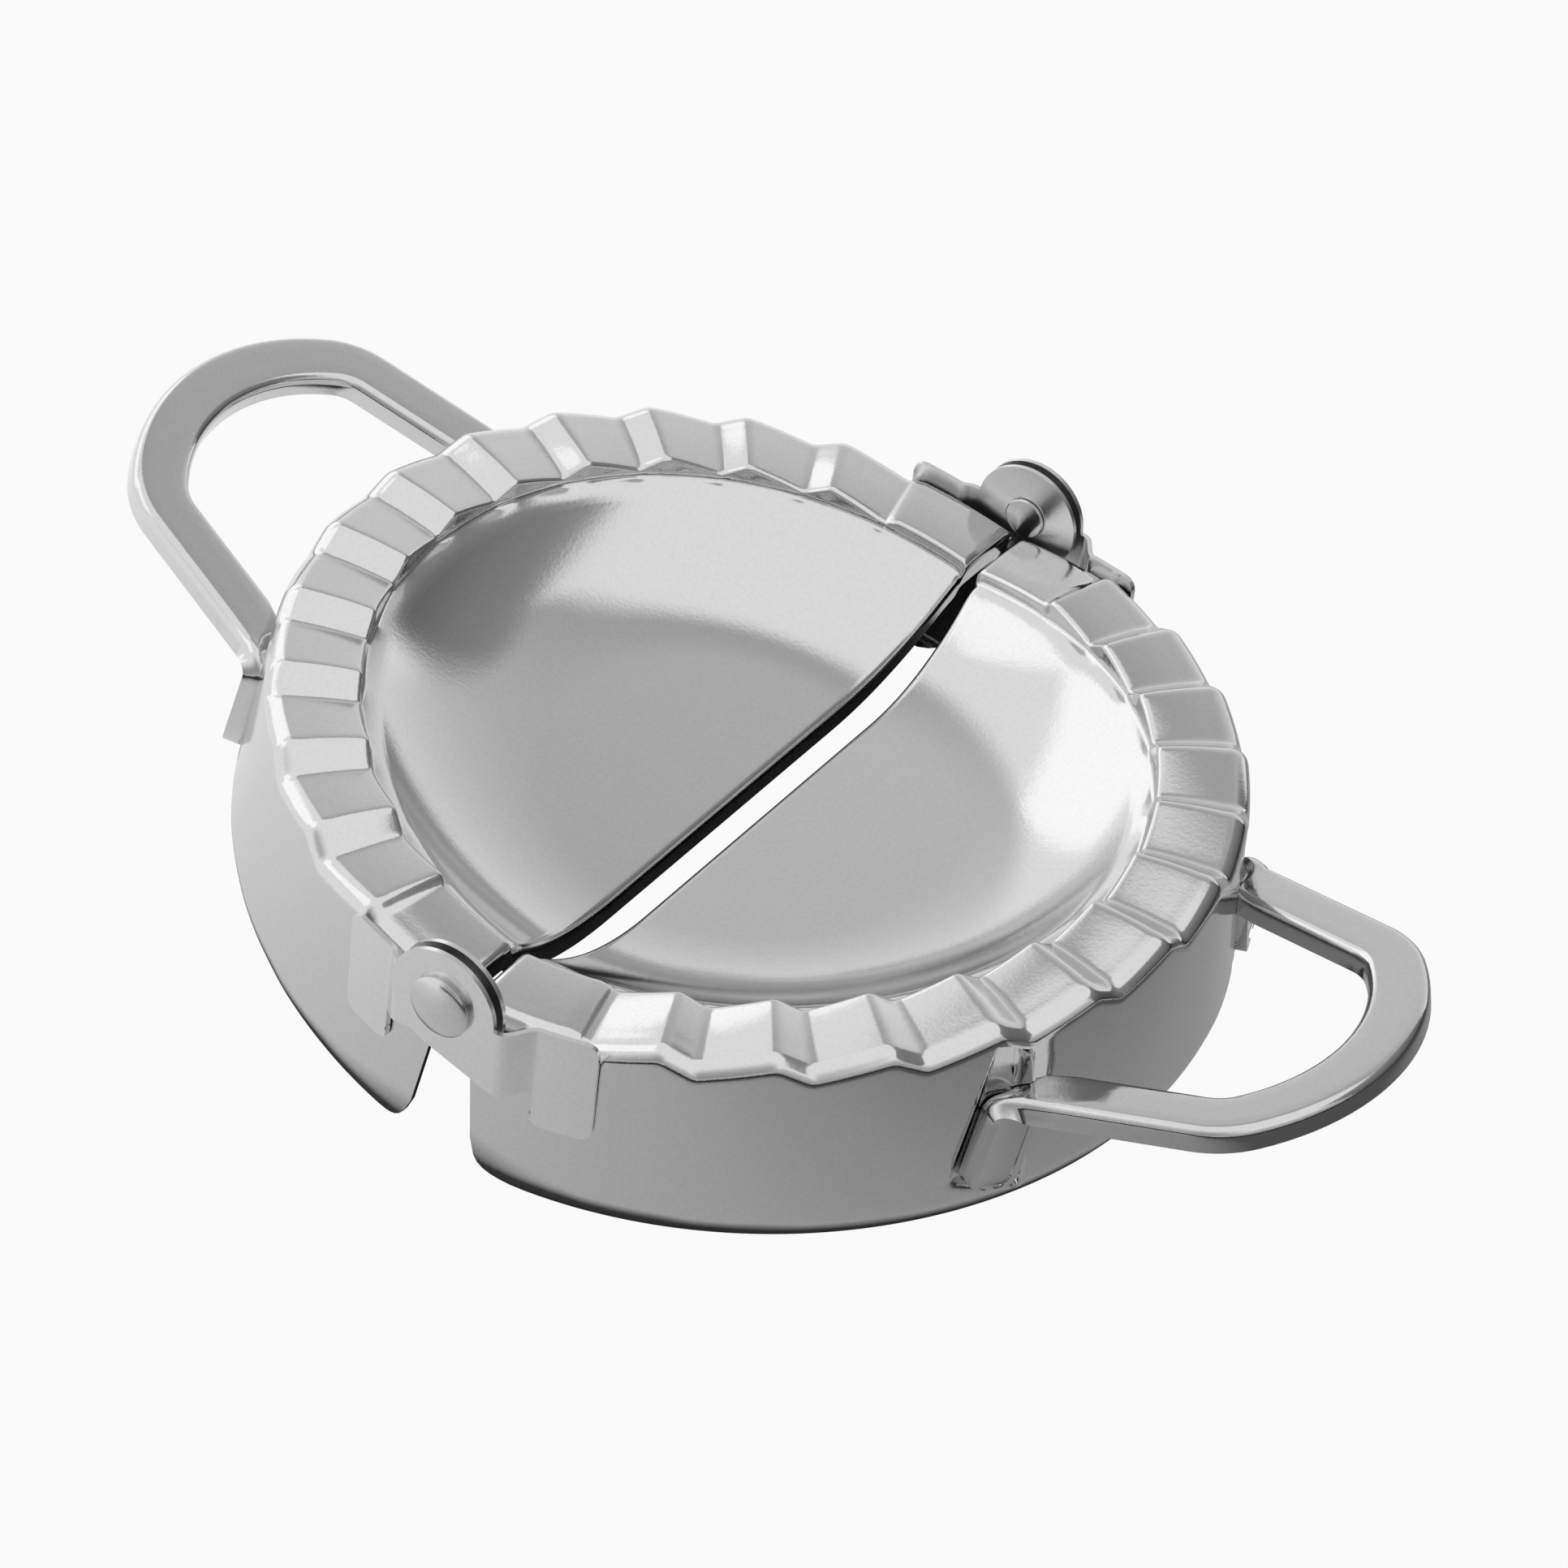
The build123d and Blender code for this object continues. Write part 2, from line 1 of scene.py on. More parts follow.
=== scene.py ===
"""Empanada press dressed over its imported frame: two stamped steel halves on a riveted hinge."""
import logging
import math
from dataclasses import dataclass
from enum import Enum
from typing import Sequence

import bmesh
import bpy
from mathutils import Matrix, Vector


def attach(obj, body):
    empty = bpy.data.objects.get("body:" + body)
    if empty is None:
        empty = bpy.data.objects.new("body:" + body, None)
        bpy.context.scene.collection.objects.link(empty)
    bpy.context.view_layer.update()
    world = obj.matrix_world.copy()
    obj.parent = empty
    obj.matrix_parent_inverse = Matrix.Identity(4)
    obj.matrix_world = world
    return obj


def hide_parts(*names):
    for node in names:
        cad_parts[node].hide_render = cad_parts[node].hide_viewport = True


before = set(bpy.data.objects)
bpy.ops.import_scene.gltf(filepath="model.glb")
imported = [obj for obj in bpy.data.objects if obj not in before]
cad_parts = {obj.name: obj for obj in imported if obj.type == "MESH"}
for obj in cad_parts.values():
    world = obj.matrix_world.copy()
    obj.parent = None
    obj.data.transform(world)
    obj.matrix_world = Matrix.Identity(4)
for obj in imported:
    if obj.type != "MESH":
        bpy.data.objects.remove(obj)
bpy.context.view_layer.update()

LOG = logging.getLogger("empanada_press")
Point = tuple[float, float, float]

# Metres in a millimetre, and how close two points of a mesh are one, in metres.
MM = 0.001
DOUBLE = 0.000002

# Sizes that several pieces share, in millimetres and degrees in a half's flat frame: the round
# outline's centre and the skirt's radius, the seat of a handle's leg, and the gap at a weld.
CENTRE = 0.4
SKIRT_RADIUS = 47.5
SEAT_ANGLE = 20.0
SEAT_DISTANCE = 45.9
SEAT_INNER = 3.05
LEG_LEAN = 18.0
LEG_DROP = 9.9
WELD_GAP = 0.02


class Half(Enum):
    """The two halves of the press, by the sign of their side of the hinge."""

    RIGHT = 1
    LEFT = -1

    @property
    def word(self) -> str:
        """The half's word in node names."""
        return "right" if self is Half.RIGHT else "left"

    @property
    def body(self) -> str:
        """The CAD body that the half rides on."""
        return f"{self.word}_half"


class End(Enum):
    """The two ends of the hinge axis, by the sign of Y."""

    FAR = 1
    NEAR = -1

    @property
    def word(self) -> str:
        """The end's word in node names."""
        return "far" if self is End.FAR else "near"


@dataclass(frozen=True)
class Stance:
    """How a half's flat frame stands in the row frame, in millimetres and degrees."""

    tilt: float = 7.7
    axis_height: float = 21.016

    def place(self, half: Half, point: Point) -> Vector:
        """Moves a point from a half's flat frame to the row frame.

        Args:
            half: The half that the point belongs to.
            point: Position in millimetres, x outwards from the hinge axis.

        Returns:
            The position in metres in the row frame.
        """
        a = math.radians(self.tilt)
        x = point[0] * math.cos(a) - point[2] * math.sin(a)
        z = point[0] * math.sin(a) + point[2] * math.cos(a) + self.axis_height
        return Vector((half.value * x, half.value * point[1], z)) * MM


STANCE = Stance()


# ---------------------------------------------------------------- node tools
def add_node(
    tree: bpy.types.NodeTree, kind: str, inputs: dict[str | int, object], **settings: object
) -> bpy.types.Node:
    """Adds a node, sets its properties and fills its inputs.

    Args:
        tree: The node tree.
        kind: The node's type.
        inputs: Sockets to link or values to set, by input name or number.
        settings: Properties of the node.

    Returns:
        The node.
    """
    node = tree.nodes.new(kind)
    for name, value in settings.items():
        setattr(node, name, value)
    for name, value in inputs.items():
        if isinstance(value, bpy.types.NodeSocket):
            tree.links.new(value, node.inputs[name])
        else:
            node.inputs[name].default_value = value
    return node


def ramp(
    tree: bpy.types.NodeTree,
    value: bpy.types.NodeSocket,
    source: tuple[float, float],
    result: tuple[float, float] = (0.0, 1.0),
    shape: str = "LINEAR",
) -> bpy.types.NodeSocket:
    """Maps a value from one range to another.

    Args:
        tree: The node tree.
        value: The value to map.
        source: The range that it comes from.
        result: The range that it is mapped to.
        shape: How the result runs between its ends.

    Returns:
        The socket of the mapped value.
    """
    inputs = {
        "Value": value,
        "From Min": source[0],
        "From Max": source[1],
        "To Min": result[0],
        "To Max": result[1],
    }
    return add_node(tree, "ShaderNodeMapRange", inputs, interpolation_type=shape).outputs["Result"]


def mix_shaders(
    tree: bpy.types.NodeTree, share: bpy.types.NodeSocket, under: bpy.types.Node, over: bpy.types.Node
) -> None:
    """Ends a tree in a mix of two shader nodes.

    Args:
        tree: The node tree, with its output node.
        share: Share of the second shader.
        under: The first shader node.
        over: The second shader node.
    """
    mix = add_node(tree, "ShaderNodeMixShader", {"Fac": share, 1: under.outputs[0], 2: over.outputs[0]})
    end = next(node for node in tree.nodes if node.type in ("OUTPUT_MATERIAL", "OUTPUT_WORLD"))
    tree.links.new(mix.outputs["Shader"], end.inputs["Surface"])


def bare_material(name: str) -> bpy.types.Material:
    """Makes a node material that holds only its output.

    Args:
        name: Name of the material.

    Returns:
        The material.
    """
    mat = bpy.data.materials.new(name)
    mat.use_nodes = True
    mat.node_tree.nodes.remove(mat.node_tree.nodes["Principled BSDF"])
    return mat


# ------------------------------------------------------------------ finishes
@dataclass(frozen=True)
class Steel:
    """Satin or polished stainless sheet."""

    name: str
    tone: float
    rough: float
    grain: float
    smudge: float = 0.05
    grain_scale: float = 2600.0
    smudge_scale: float = 60.0
    middle: tuple[float, float] = (0.3, 0.7)
    tone_spread: float = 0.03
    least_rough: float = 0.02
    grain_depth: float = 0.00002

    def material(self) -> bpy.types.Material:
        """Builds the node material.

        Returns:
            A metal whose roughness varies with faint smudges and a fine grain.
        """
        mat = bpy.data.materials.new(self.name)
        mat.use_nodes = True
        tree = mat.node_tree
        where = add_node(tree, "ShaderNodeTexCoord", {}).outputs["Object"]
        grain = add_node(
            tree, "ShaderNodeTexNoise", {"Vector": where, "Scale": self.grain_scale, "Detail": 3.0}
        ).outputs["Fac"]
        cloud = add_node(
            tree, "ShaderNodeTexNoise", {"Vector": where, "Scale": self.smudge_scale, "Detail": 4.0}
        ).outputs["Fac"]
        roughs = (max(self.least_rough, self.rough - self.smudge), self.rough + self.smudge)
        tones = (self.tone * (1 - self.tone_spread), self.tone * (1 + self.tone_spread))
        bump = add_node(
            tree, "ShaderNodeBump", {"Strength": self.grain, "Distance": self.grain_depth, "Height": grain}
        )
        shader = tree.nodes["Principled BSDF"]
        shader.inputs["Metallic"].default_value = 1.0
        tree.links.new(ramp(tree, cloud, self.middle, roughs), shader.inputs["Roughness"])
        tree.links.new(ramp(tree, grain, self.middle, tones), shader.inputs["Base Color"])
        tree.links.new(bump.outputs["Normal"], shader.inputs["Normal"])
        return mat


@dataclass(frozen=True)
class Finishes:
    """Every finish on the press."""

    shell: Steel = Steel("shell_steel", 0.68, 0.12, 0.35, smudge=0.03)
    handle: Steel = Steel("handle_steel", 0.66, 0.11, 0.30, smudge=0.03)
    leaf: Steel = Steel("leaf_steel", 0.78, 0.22, 0.45)
    rivet: Steel = Steel("rivet_steel", 0.66, 0.18, 0.50)
    washer: Steel = Steel("washer_steel", 0.45, 0.35, 0.40)
    weld: Steel = Steel("weld_steel", 0.72, 0.15, 0.80)


# ---------------------------------------------------------------- mesh tools
def smoothstep(value: float, low: float, high: float) -> float:
    """Smooth rise from 0 at low to 1 at high.

    Args:
        value: The number to place.
        low: Where the rise starts.
        high: Where it ends.

    Returns:
        A number from 0 to 1.
    """
    t = min(1.0, max(0.0, (value - low) / (high - low)))
    return t * t * (3 - 2 * t)


def spread(start: float, stop: float, count: int) -> list[float]:
    """Even numbers from start to stop, both included.

    Args:
        start: First number.
        stop: Last number.
        count: How many steps lie between them.

    Returns:
        A list of count + 1 numbers.
    """
    return [start + (stop - start) * n / count for n in range(count + 1)]


def grid_faces(rows: int, columns: int, closed: bool = False) -> list[tuple[int, ...]]:
    """Quads of a grid stored row by row.

    Args:
        rows: Number of rows.
        columns: Number of points in a row.
        closed: Whether the last column joins the first.

    Returns:
        The faces as index tuples.
    """
    faces = []
    for row in range(rows - 1):
        for column in range(columns if closed else columns - 1):
            other = (column + 1) % columns
            low, high = row * columns, (row + 1) * columns
            faces.append((low + column, low + other, high + other, high + column))
    return faces


def link_mesh(
    name: str, points: Sequence[Sequence[float]], faces: Sequence[Sequence[int]]
) -> bpy.types.Object:
    """Makes a mesh object at the origin, just as it is given.

    Args:
        name: Name of the object.
        points: Positions in metres.
        faces: Index tuples, none for loose points.

    Returns:
        The linked object.
    """
    mesh = bpy.data.meshes.new(name)
    mesh.from_pydata([tuple(p) for p in points], [], [tuple(f) for f in faces])
    obj = bpy.data.objects.new(name, mesh)
    bpy.context.scene.collection.objects.link(obj)
    return obj


def new_object(name: str, points: Sequence[Vector], faces: Sequence[Sequence[int]]) -> bpy.types.Object:
    """Makes a clean mesh object at the origin.

    Args:
        name: Name of the piece.
        points: Positions in metres.
        faces: Index tuples.

    Returns:
        The linked object, its doubles merged and its normals recalculated.
    """
    obj = link_mesh(name, points, faces)
    work = bmesh.new()
    work.from_mesh(obj.data)
    bmesh.ops.remove_doubles(work, verts=work.verts, dist=DOUBLE)
    bmesh.ops.dissolve_degenerate(work, edges=work.edges, dist=DOUBLE / 2)
    bmesh.ops.recalc_face_normals(work, faces=work.faces)
    work.to_mesh(obj.data)
    work.free()
    return obj


def settle(obj: bpy.types.Object) -> bpy.types.Object:
    """Turns an object with modifiers into a plain mesh.

    Args:
        obj: The object to bake.

    Returns:
        The same object, without its modifiers.
    """
    bpy.context.view_layer.update()
    graph = bpy.context.evaluated_depsgraph_get()
    mesh = bpy.data.meshes.new_from_object(obj.evaluated_get(graph))
    obj.modifiers.clear()
    old = obj.data
    obj.data = mesh
    bpy.data.meshes.remove(old)
    return obj


class NodeSketch:
    """A geometry node tree under construction, with named inputs for its sizes."""

    def __init__(self, name: str) -> None:
        """Starts a tree that takes and gives a geometry.

        Args:
            name: Name of the tree.
        """
        self.tree = bpy.data.node_groups.new(name, "GeometryNodeTree")
        self.tree.interface.new_socket("Geometry", in_out="OUTPUT", socket_type="NodeSocketGeometry")
        self.tree.interface.new_socket("Geometry", in_out="INPUT", socket_type="NodeSocketGeometry")
        self.source = self.tree.nodes.new("NodeGroupInput")
        self.sink = self.tree.nodes.new("NodeGroupOutput")

    def size(self, name: str, kind: str = "Float") -> bpy.types.NodeSocket:
        """Adds a named input.

        Args:
            name: The input's name.
            kind: Float, Int, Vector or Material.

        Returns:
            The socket that carries it inside the tree.
        """
        self.tree.interface.new_socket(name, in_out="INPUT", socket_type=f"NodeSocket{kind}")
        return self.source.outputs[name]

    def node(self, kind: str, inputs: dict[str | int, object], **settings: object) -> bpy.types.Node:
        """Adds a node and fills its inputs.

        Args:
            kind: The node's type, without its common prefix.
            inputs: Sockets to link or values to set, by input name or number.
            settings: Properties of the node.

        Returns:
            The node.
        """
        prefix = "" if kind.startswith(("Shader", "Function")) else "GeometryNode"
        return add_node(self.tree, prefix + kind, inputs, **settings)

    def math(self, operation: str, *values: object) -> bpy.types.NodeSocket:
        """A number worked out from sockets and plain numbers."""
        return self.node("ShaderNodeMath", dict(enumerate(values)), operation=operation).outputs[0]

    def attribute(self, name: str, kind: str = "FLOAT") -> bpy.types.NodeSocket:
        """A value stored on the mesh under a name."""
        node = self.node("InputNamedAttribute", {"Name": name}, data_type=kind)
        return node.outputs["Attribute"]

    def finish(self, geometry: bpy.types.NodeSocket) -> None:
        """Ends the tree in real geometry with its material.

        Args:
            geometry: The socket of the finished geometry.
        """
        real = self.node("RealizeInstances", {"Geometry": geometry})
        steel = self.size("Material", "Material")
        dressed = self.node("SetMaterial", {"Geometry": real.outputs["Geometry"], "Material": steel})
        self.tree.links.new(dressed.outputs["Geometry"], self.sink.inputs["Geometry"])

    def run(self, obj: bpy.types.Object, sizes: dict[str, object]) -> None:
        """Runs the tree on an object and keeps the plain mesh.

        Args:
            obj: The object to work on.
            sizes: Value of each named input.
        """
        modifier = obj.modifiers.new(self.tree.name, "NODES")
        modifier.node_group = self.tree
        for item in self.tree.interface.items_tree:
            if item.in_out == "INPUT" and item.name in sizes:
                modifier[item.identifier] = sizes[item.name]
        settle(obj)


def repeat(
    name: str,
    stamp: bpy.types.Object,
    places: Sequence[tuple[Vector, Point, float]],
    mat: bpy.types.Material,
    unevenness: float = 0.0,
    seed: int = 4,
) -> bpy.types.Object:
    """Sets copies of a stamp at given places with a node tree.

    Args:
        name: Name of the piece.
        stamp: The shape to copy, taken out of the scene afterwards.
        places: Position in metres, turn in radians and size of each copy.
        mat: Material of the copies.
        unevenness: How far the size of a copy may stray, as a share.
        seed: Seed of the straying.

    Returns:
        One plain mesh object with every copy.
    """
    obj = link_mesh(name, [place for place, _, _ in places], [])
    attributes = obj.data.attributes
    turns = [value for _, turn, _ in places for value in turn]
    attributes.new("turn", "FLOAT_VECTOR", "POINT").data.foreach_set("vector", turns)
    attributes.new("size", "FLOAT", "POINT").data.foreach_set("value", [size for _, _, size in places])
    sketch = NodeSketch("repeat")
    shape, stray = sketch.size("Stamp", "Object"), sketch.size("Unevenness")
    chance = sketch.size("Seed", "Int")
    info = sketch.node("ObjectInfo", {"Object": shape})
    low, high = sketch.math("SUBTRACT", 1.0, stray), sketch.math("ADD", 1.0, stray)
    limits = {0: low, 1: high, "Seed": chance}
    vary = sketch.node("FunctionNodeRandomValue", limits, data_type="FLOAT_VECTOR")
    scale = sketch.node(
        "ShaderNodeVectorMath", {0: vary.outputs[0], "Scale": sketch.attribute("size")}, operation="SCALE"
    )
    turn = sketch.node("FunctionNodeEulerToRotation", {"Euler": sketch.attribute("turn", "FLOAT_VECTOR")})
    copies = sketch.node(
        "InstanceOnPoints",
        {
            "Points": sketch.source.outputs["Geometry"],
            "Instance": info.outputs["Geometry"],
            "Rotation": turn.outputs["Rotation"],
            "Scale": scale.outputs["Vector"],
        },
    )
    sketch.finish(copies.outputs["Instances"])
    sketch.run(obj, {"Stamp": stamp, "Unevenness": unevenness, "Seed": seed, "Material": mat})
    bpy.data.objects.remove(stamp)
    return obj


def soften(obj: bpy.types.Object, sharp_degrees: float) -> None:
    """Shades an object smooth except across its sharp edges.

    Args:
        obj: The object.
        sharp_degrees: Angle from which an edge is sharp.
    """
    for polygon in obj.data.polygons:
        polygon.use_smooth = True
    obj.data.set_sharp_from_angle(angle=math.radians(sharp_degrees))


def thicken(obj: bpy.types.Object, thickness: float, outside: float) -> None:
    """Gives an open sheet its thickness, away from a side.

    Args:
        obj: The open sheet.
        thickness: In metres.
        outside: -1 to keep the sheet as the outer face, 1 to keep it as the inner.
    """
    wall = obj.modifiers.new("wall", "SOLIDIFY")
    wall.thickness = thickness
    wall.offset = outside
    wall.use_even_offset = False
    settle(obj)


def dress(obj: bpy.types.Object, mat: bpy.types.Material, body: str, nodes: Sequence[str]) -> None:
    """Gives a finished piece its material and its body, and hides the CAD nodes it stands for.

    Args:
        obj: The piece.
        mat: Its material.
        body: The CAD body that it moves with.
        nodes: CAD nodes that it replaces.
    """
    obj.data.materials.clear()
    obj.data.materials.append(mat)
    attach(obj, body)
    if nodes:
        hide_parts(*nodes)
    LOG.info("piece %s: %d faces on %s", obj.name, len(obj.data.polygons), body)


# -------------------------------------------------------------------- shells
@dataclass(frozen=True)
class Crimp:
    """The saw-tooth wave pressed into the rim, in degrees and millimetres.

    The columns near a crease lie at the offsets in near. The wave fades out over fade, a share
    of the drop on either side of the last valley.
    """

    pitch: float = 12.86
    drop: float = 3.8
    waves: int = 12
    height: float = 0.80
    crease: float = 0.80
    near: tuple[float, ...] = (0.0, 0.2, 0.4, 0.65, 0.95)
    fade: tuple[float, float] = (0.55, 0.5)

    @property
    def climb(self) -> float:
        """Degrees from a valley up to its peak."""
        return self.pitch - self.drop

    @property
    def first(self) -> float:
        """Angle of the first valley."""
        return -((self.waves - 1) * self.pitch + self.climb) / 2

    def reach(self, angle: float) -> float:
        """1 where the rim is crimped, falling to 0 on its flat ends."""
        past, width = (self.drop * share for share in self.fade)
        return smoothstep(-self.first + past - abs(angle), 0.0, width)

    def stations(self) -> list[float]:
        """Lists the angles at which the rim is drawn.

        Returns:
            Sorted angles, close together at the creases.
        """
        away_last = self.near[-1]
        angles = set()
        for wave in range(self.waves):
            valley = self.first + wave * self.pitch
            peak = valley + self.climb
            for away in self.near:
                angles.update((valley - away, valley + away, peak - away, peak + away))
            angles.update(spread(valley + away_last, peak - away_last, 5))
            angles.update(spread(peak + away_last, peak + self.drop - away_last, 3))
        return sorted(round(a, 4) for a in angles)

    def tree(self) -> NodeSketch:
        """Node tree that presses the wave into a sheet.

        Returns:
            A tree that reads the attributes angle and share from the sheet.
        """
        sketch = NodeSketch("crimp")
        pitch, drop = sketch.size("Pitch"), sketch.size("Drop")
        height, first = sketch.size("Height"), sketch.size("First Valley")
        crease, rise_way = sketch.size("Crease"), sketch.size("Rise", "Vector")
        math_node = sketch.math
        turns = math_node("DIVIDE", math_node("SUBTRACT", sketch.attribute("angle"), first), pitch)
        place = math_node("FRACT", turns)
        steep = math_node("DIVIDE", drop, pitch)
        gentle = math_node("SUBTRACT", 1.0, steep)
        climb_rate = math_node("DIVIDE", 2.0, gentle)
        drop_rate = math_node("DIVIDE", 2.0, steep)
        climbing = math_node("MULTIPLY_ADD", place, climb_rate, -1.0)
        past_peak = math_node("SUBTRACT", place, gentle)
        falling = math_node("SUBTRACT", 1.0, math_node("MULTIPLY", past_peak, drop_rate))
        tooth = math_node("SMOOTH_MIN", climbing, falling, crease)
        earlier = math_node("SUBTRACT", falling, drop_rate)
        later = math_node("SUBTRACT", climbing, climb_rate)
        wave = math_node("SMOOTH_MAX", math_node("SMOOTH_MAX", tooth, earlier, crease), later, crease)
        lift = math_node("MULTIPLY", math_node("MULTIPLY", wave, sketch.attribute("share")), height)
        offset = sketch.node("ShaderNodeVectorMath", {0: rise_way, "Scale": lift}, operation="SCALE")
        moved = sketch.node(
            "SetPosition", {"Geometry": sketch.source.outputs["Geometry"], "Offset": offset.outputs["Vector"]}
        )
        joined = sketch.node("MergeByDistance", {"Geometry": moved.outputs["Geometry"], "Distance": DOUBLE})
        sketch.finish(joined.outputs["Geometry"])
        return sketch

    def press(self, obj: bpy.types.Object, rise_way: Vector, mat: bpy.types.Material) -> None:
        """Presses the wave into a sheet that carries angle and share.

        Args:
            obj: The sheet.
            rise_way: Unit vector along which the wave rises.
            mat: Material of the sheet.
        """
        sizes = {
            "Pitch": self.pitch,
            "Drop": self.drop,
            "Height": self.height * MM,
            "First Valley": self.first,
            "Crease": self.crease,
            "Rise": tuple(rise_way),
            "Material": mat,
        }
        self.tree().run(obj, sizes)


@dataclass(frozen=True)
class Recess:
    """Pressed seat for one leg of a handle."""

    normal: float = SEAT_ANGLE
    distance: float = SEAT_DISTANCE
    inner: float = SEAT_INNER
    top: float = -3.4
    edge: float = 1.1
    corner: tuple[float, float] = (4.38, -8.06)
    lean: float = LEG_LEAN
    foot: float = LEG_DROP
    reach: float = 3.3
    foot_clearance: float = 0.4
    top_run: tuple[float, float] = (-0.9, 0.3)

    def depth_share(self, angle: float, level: float) -> float:
        """How far the sheet is pressed at a place on the skirt.

        Args:
            angle: Unsigned angle from the handle's axis.
            level: Height in the half's flat frame.

        Returns:
            0 on the round skirt, 1 on the seat.
        """
        along = self.distance * math.tan(math.radians(angle - self.normal))
        lean = math.radians(self.lean)
        side = (along - self.corner[0]) * math.cos(lean) + (level - self.corner[1]) * math.sin(lean)
        down = (along - self.corner[0]) * math.sin(lean) - (level - self.corner[1]) * math.cos(lean)
        low = self.foot / math.cos(lean) + self.foot_clearance
        half = self.edge / 2
        return (
            smoothstep(along, self.inner - half, self.inner + half)
            * smoothstep(self.reach - side, -half, half)
            * smoothstep(low - down, -half, half)
            * smoothstep(self.top - level, *self.top_run)
        )

    def radius(self, angle: float) -> float:
        """Distance of the flat seat from the outline's centre at an angle."""
        return self.distance / math.cos(math.radians(angle - self.normal))


@dataclass(frozen=True)
class ProfilePoint:
    """A point of the shell's radial section, and how much of the wave it takes."""

    radius: float
    level: float
    wave: float
    flange: float
    skirt: float = -1.0


def rounded(corners: Sequence[Sequence[float]], rounds: int) -> list[tuple[float, ...]]:
    """Cuts the corners of an open line again and again, keeping its ends.

    Args:
        corners: Points of the line.
        rounds: How often every corner is cut.

    Returns:
        The points of the rounded line.
    """
    line = [tuple(c) for c in corners]
    for _ in range(rounds):
        finer = [line[0]]
        for before, after in zip(line[:-1], line[1:]):
            for share in (0.25, 0.75):
                finer.append(tuple(a + (b - a) * share for a, b in zip(before, after)))
        line = [*finer, line[-1]]
    return line


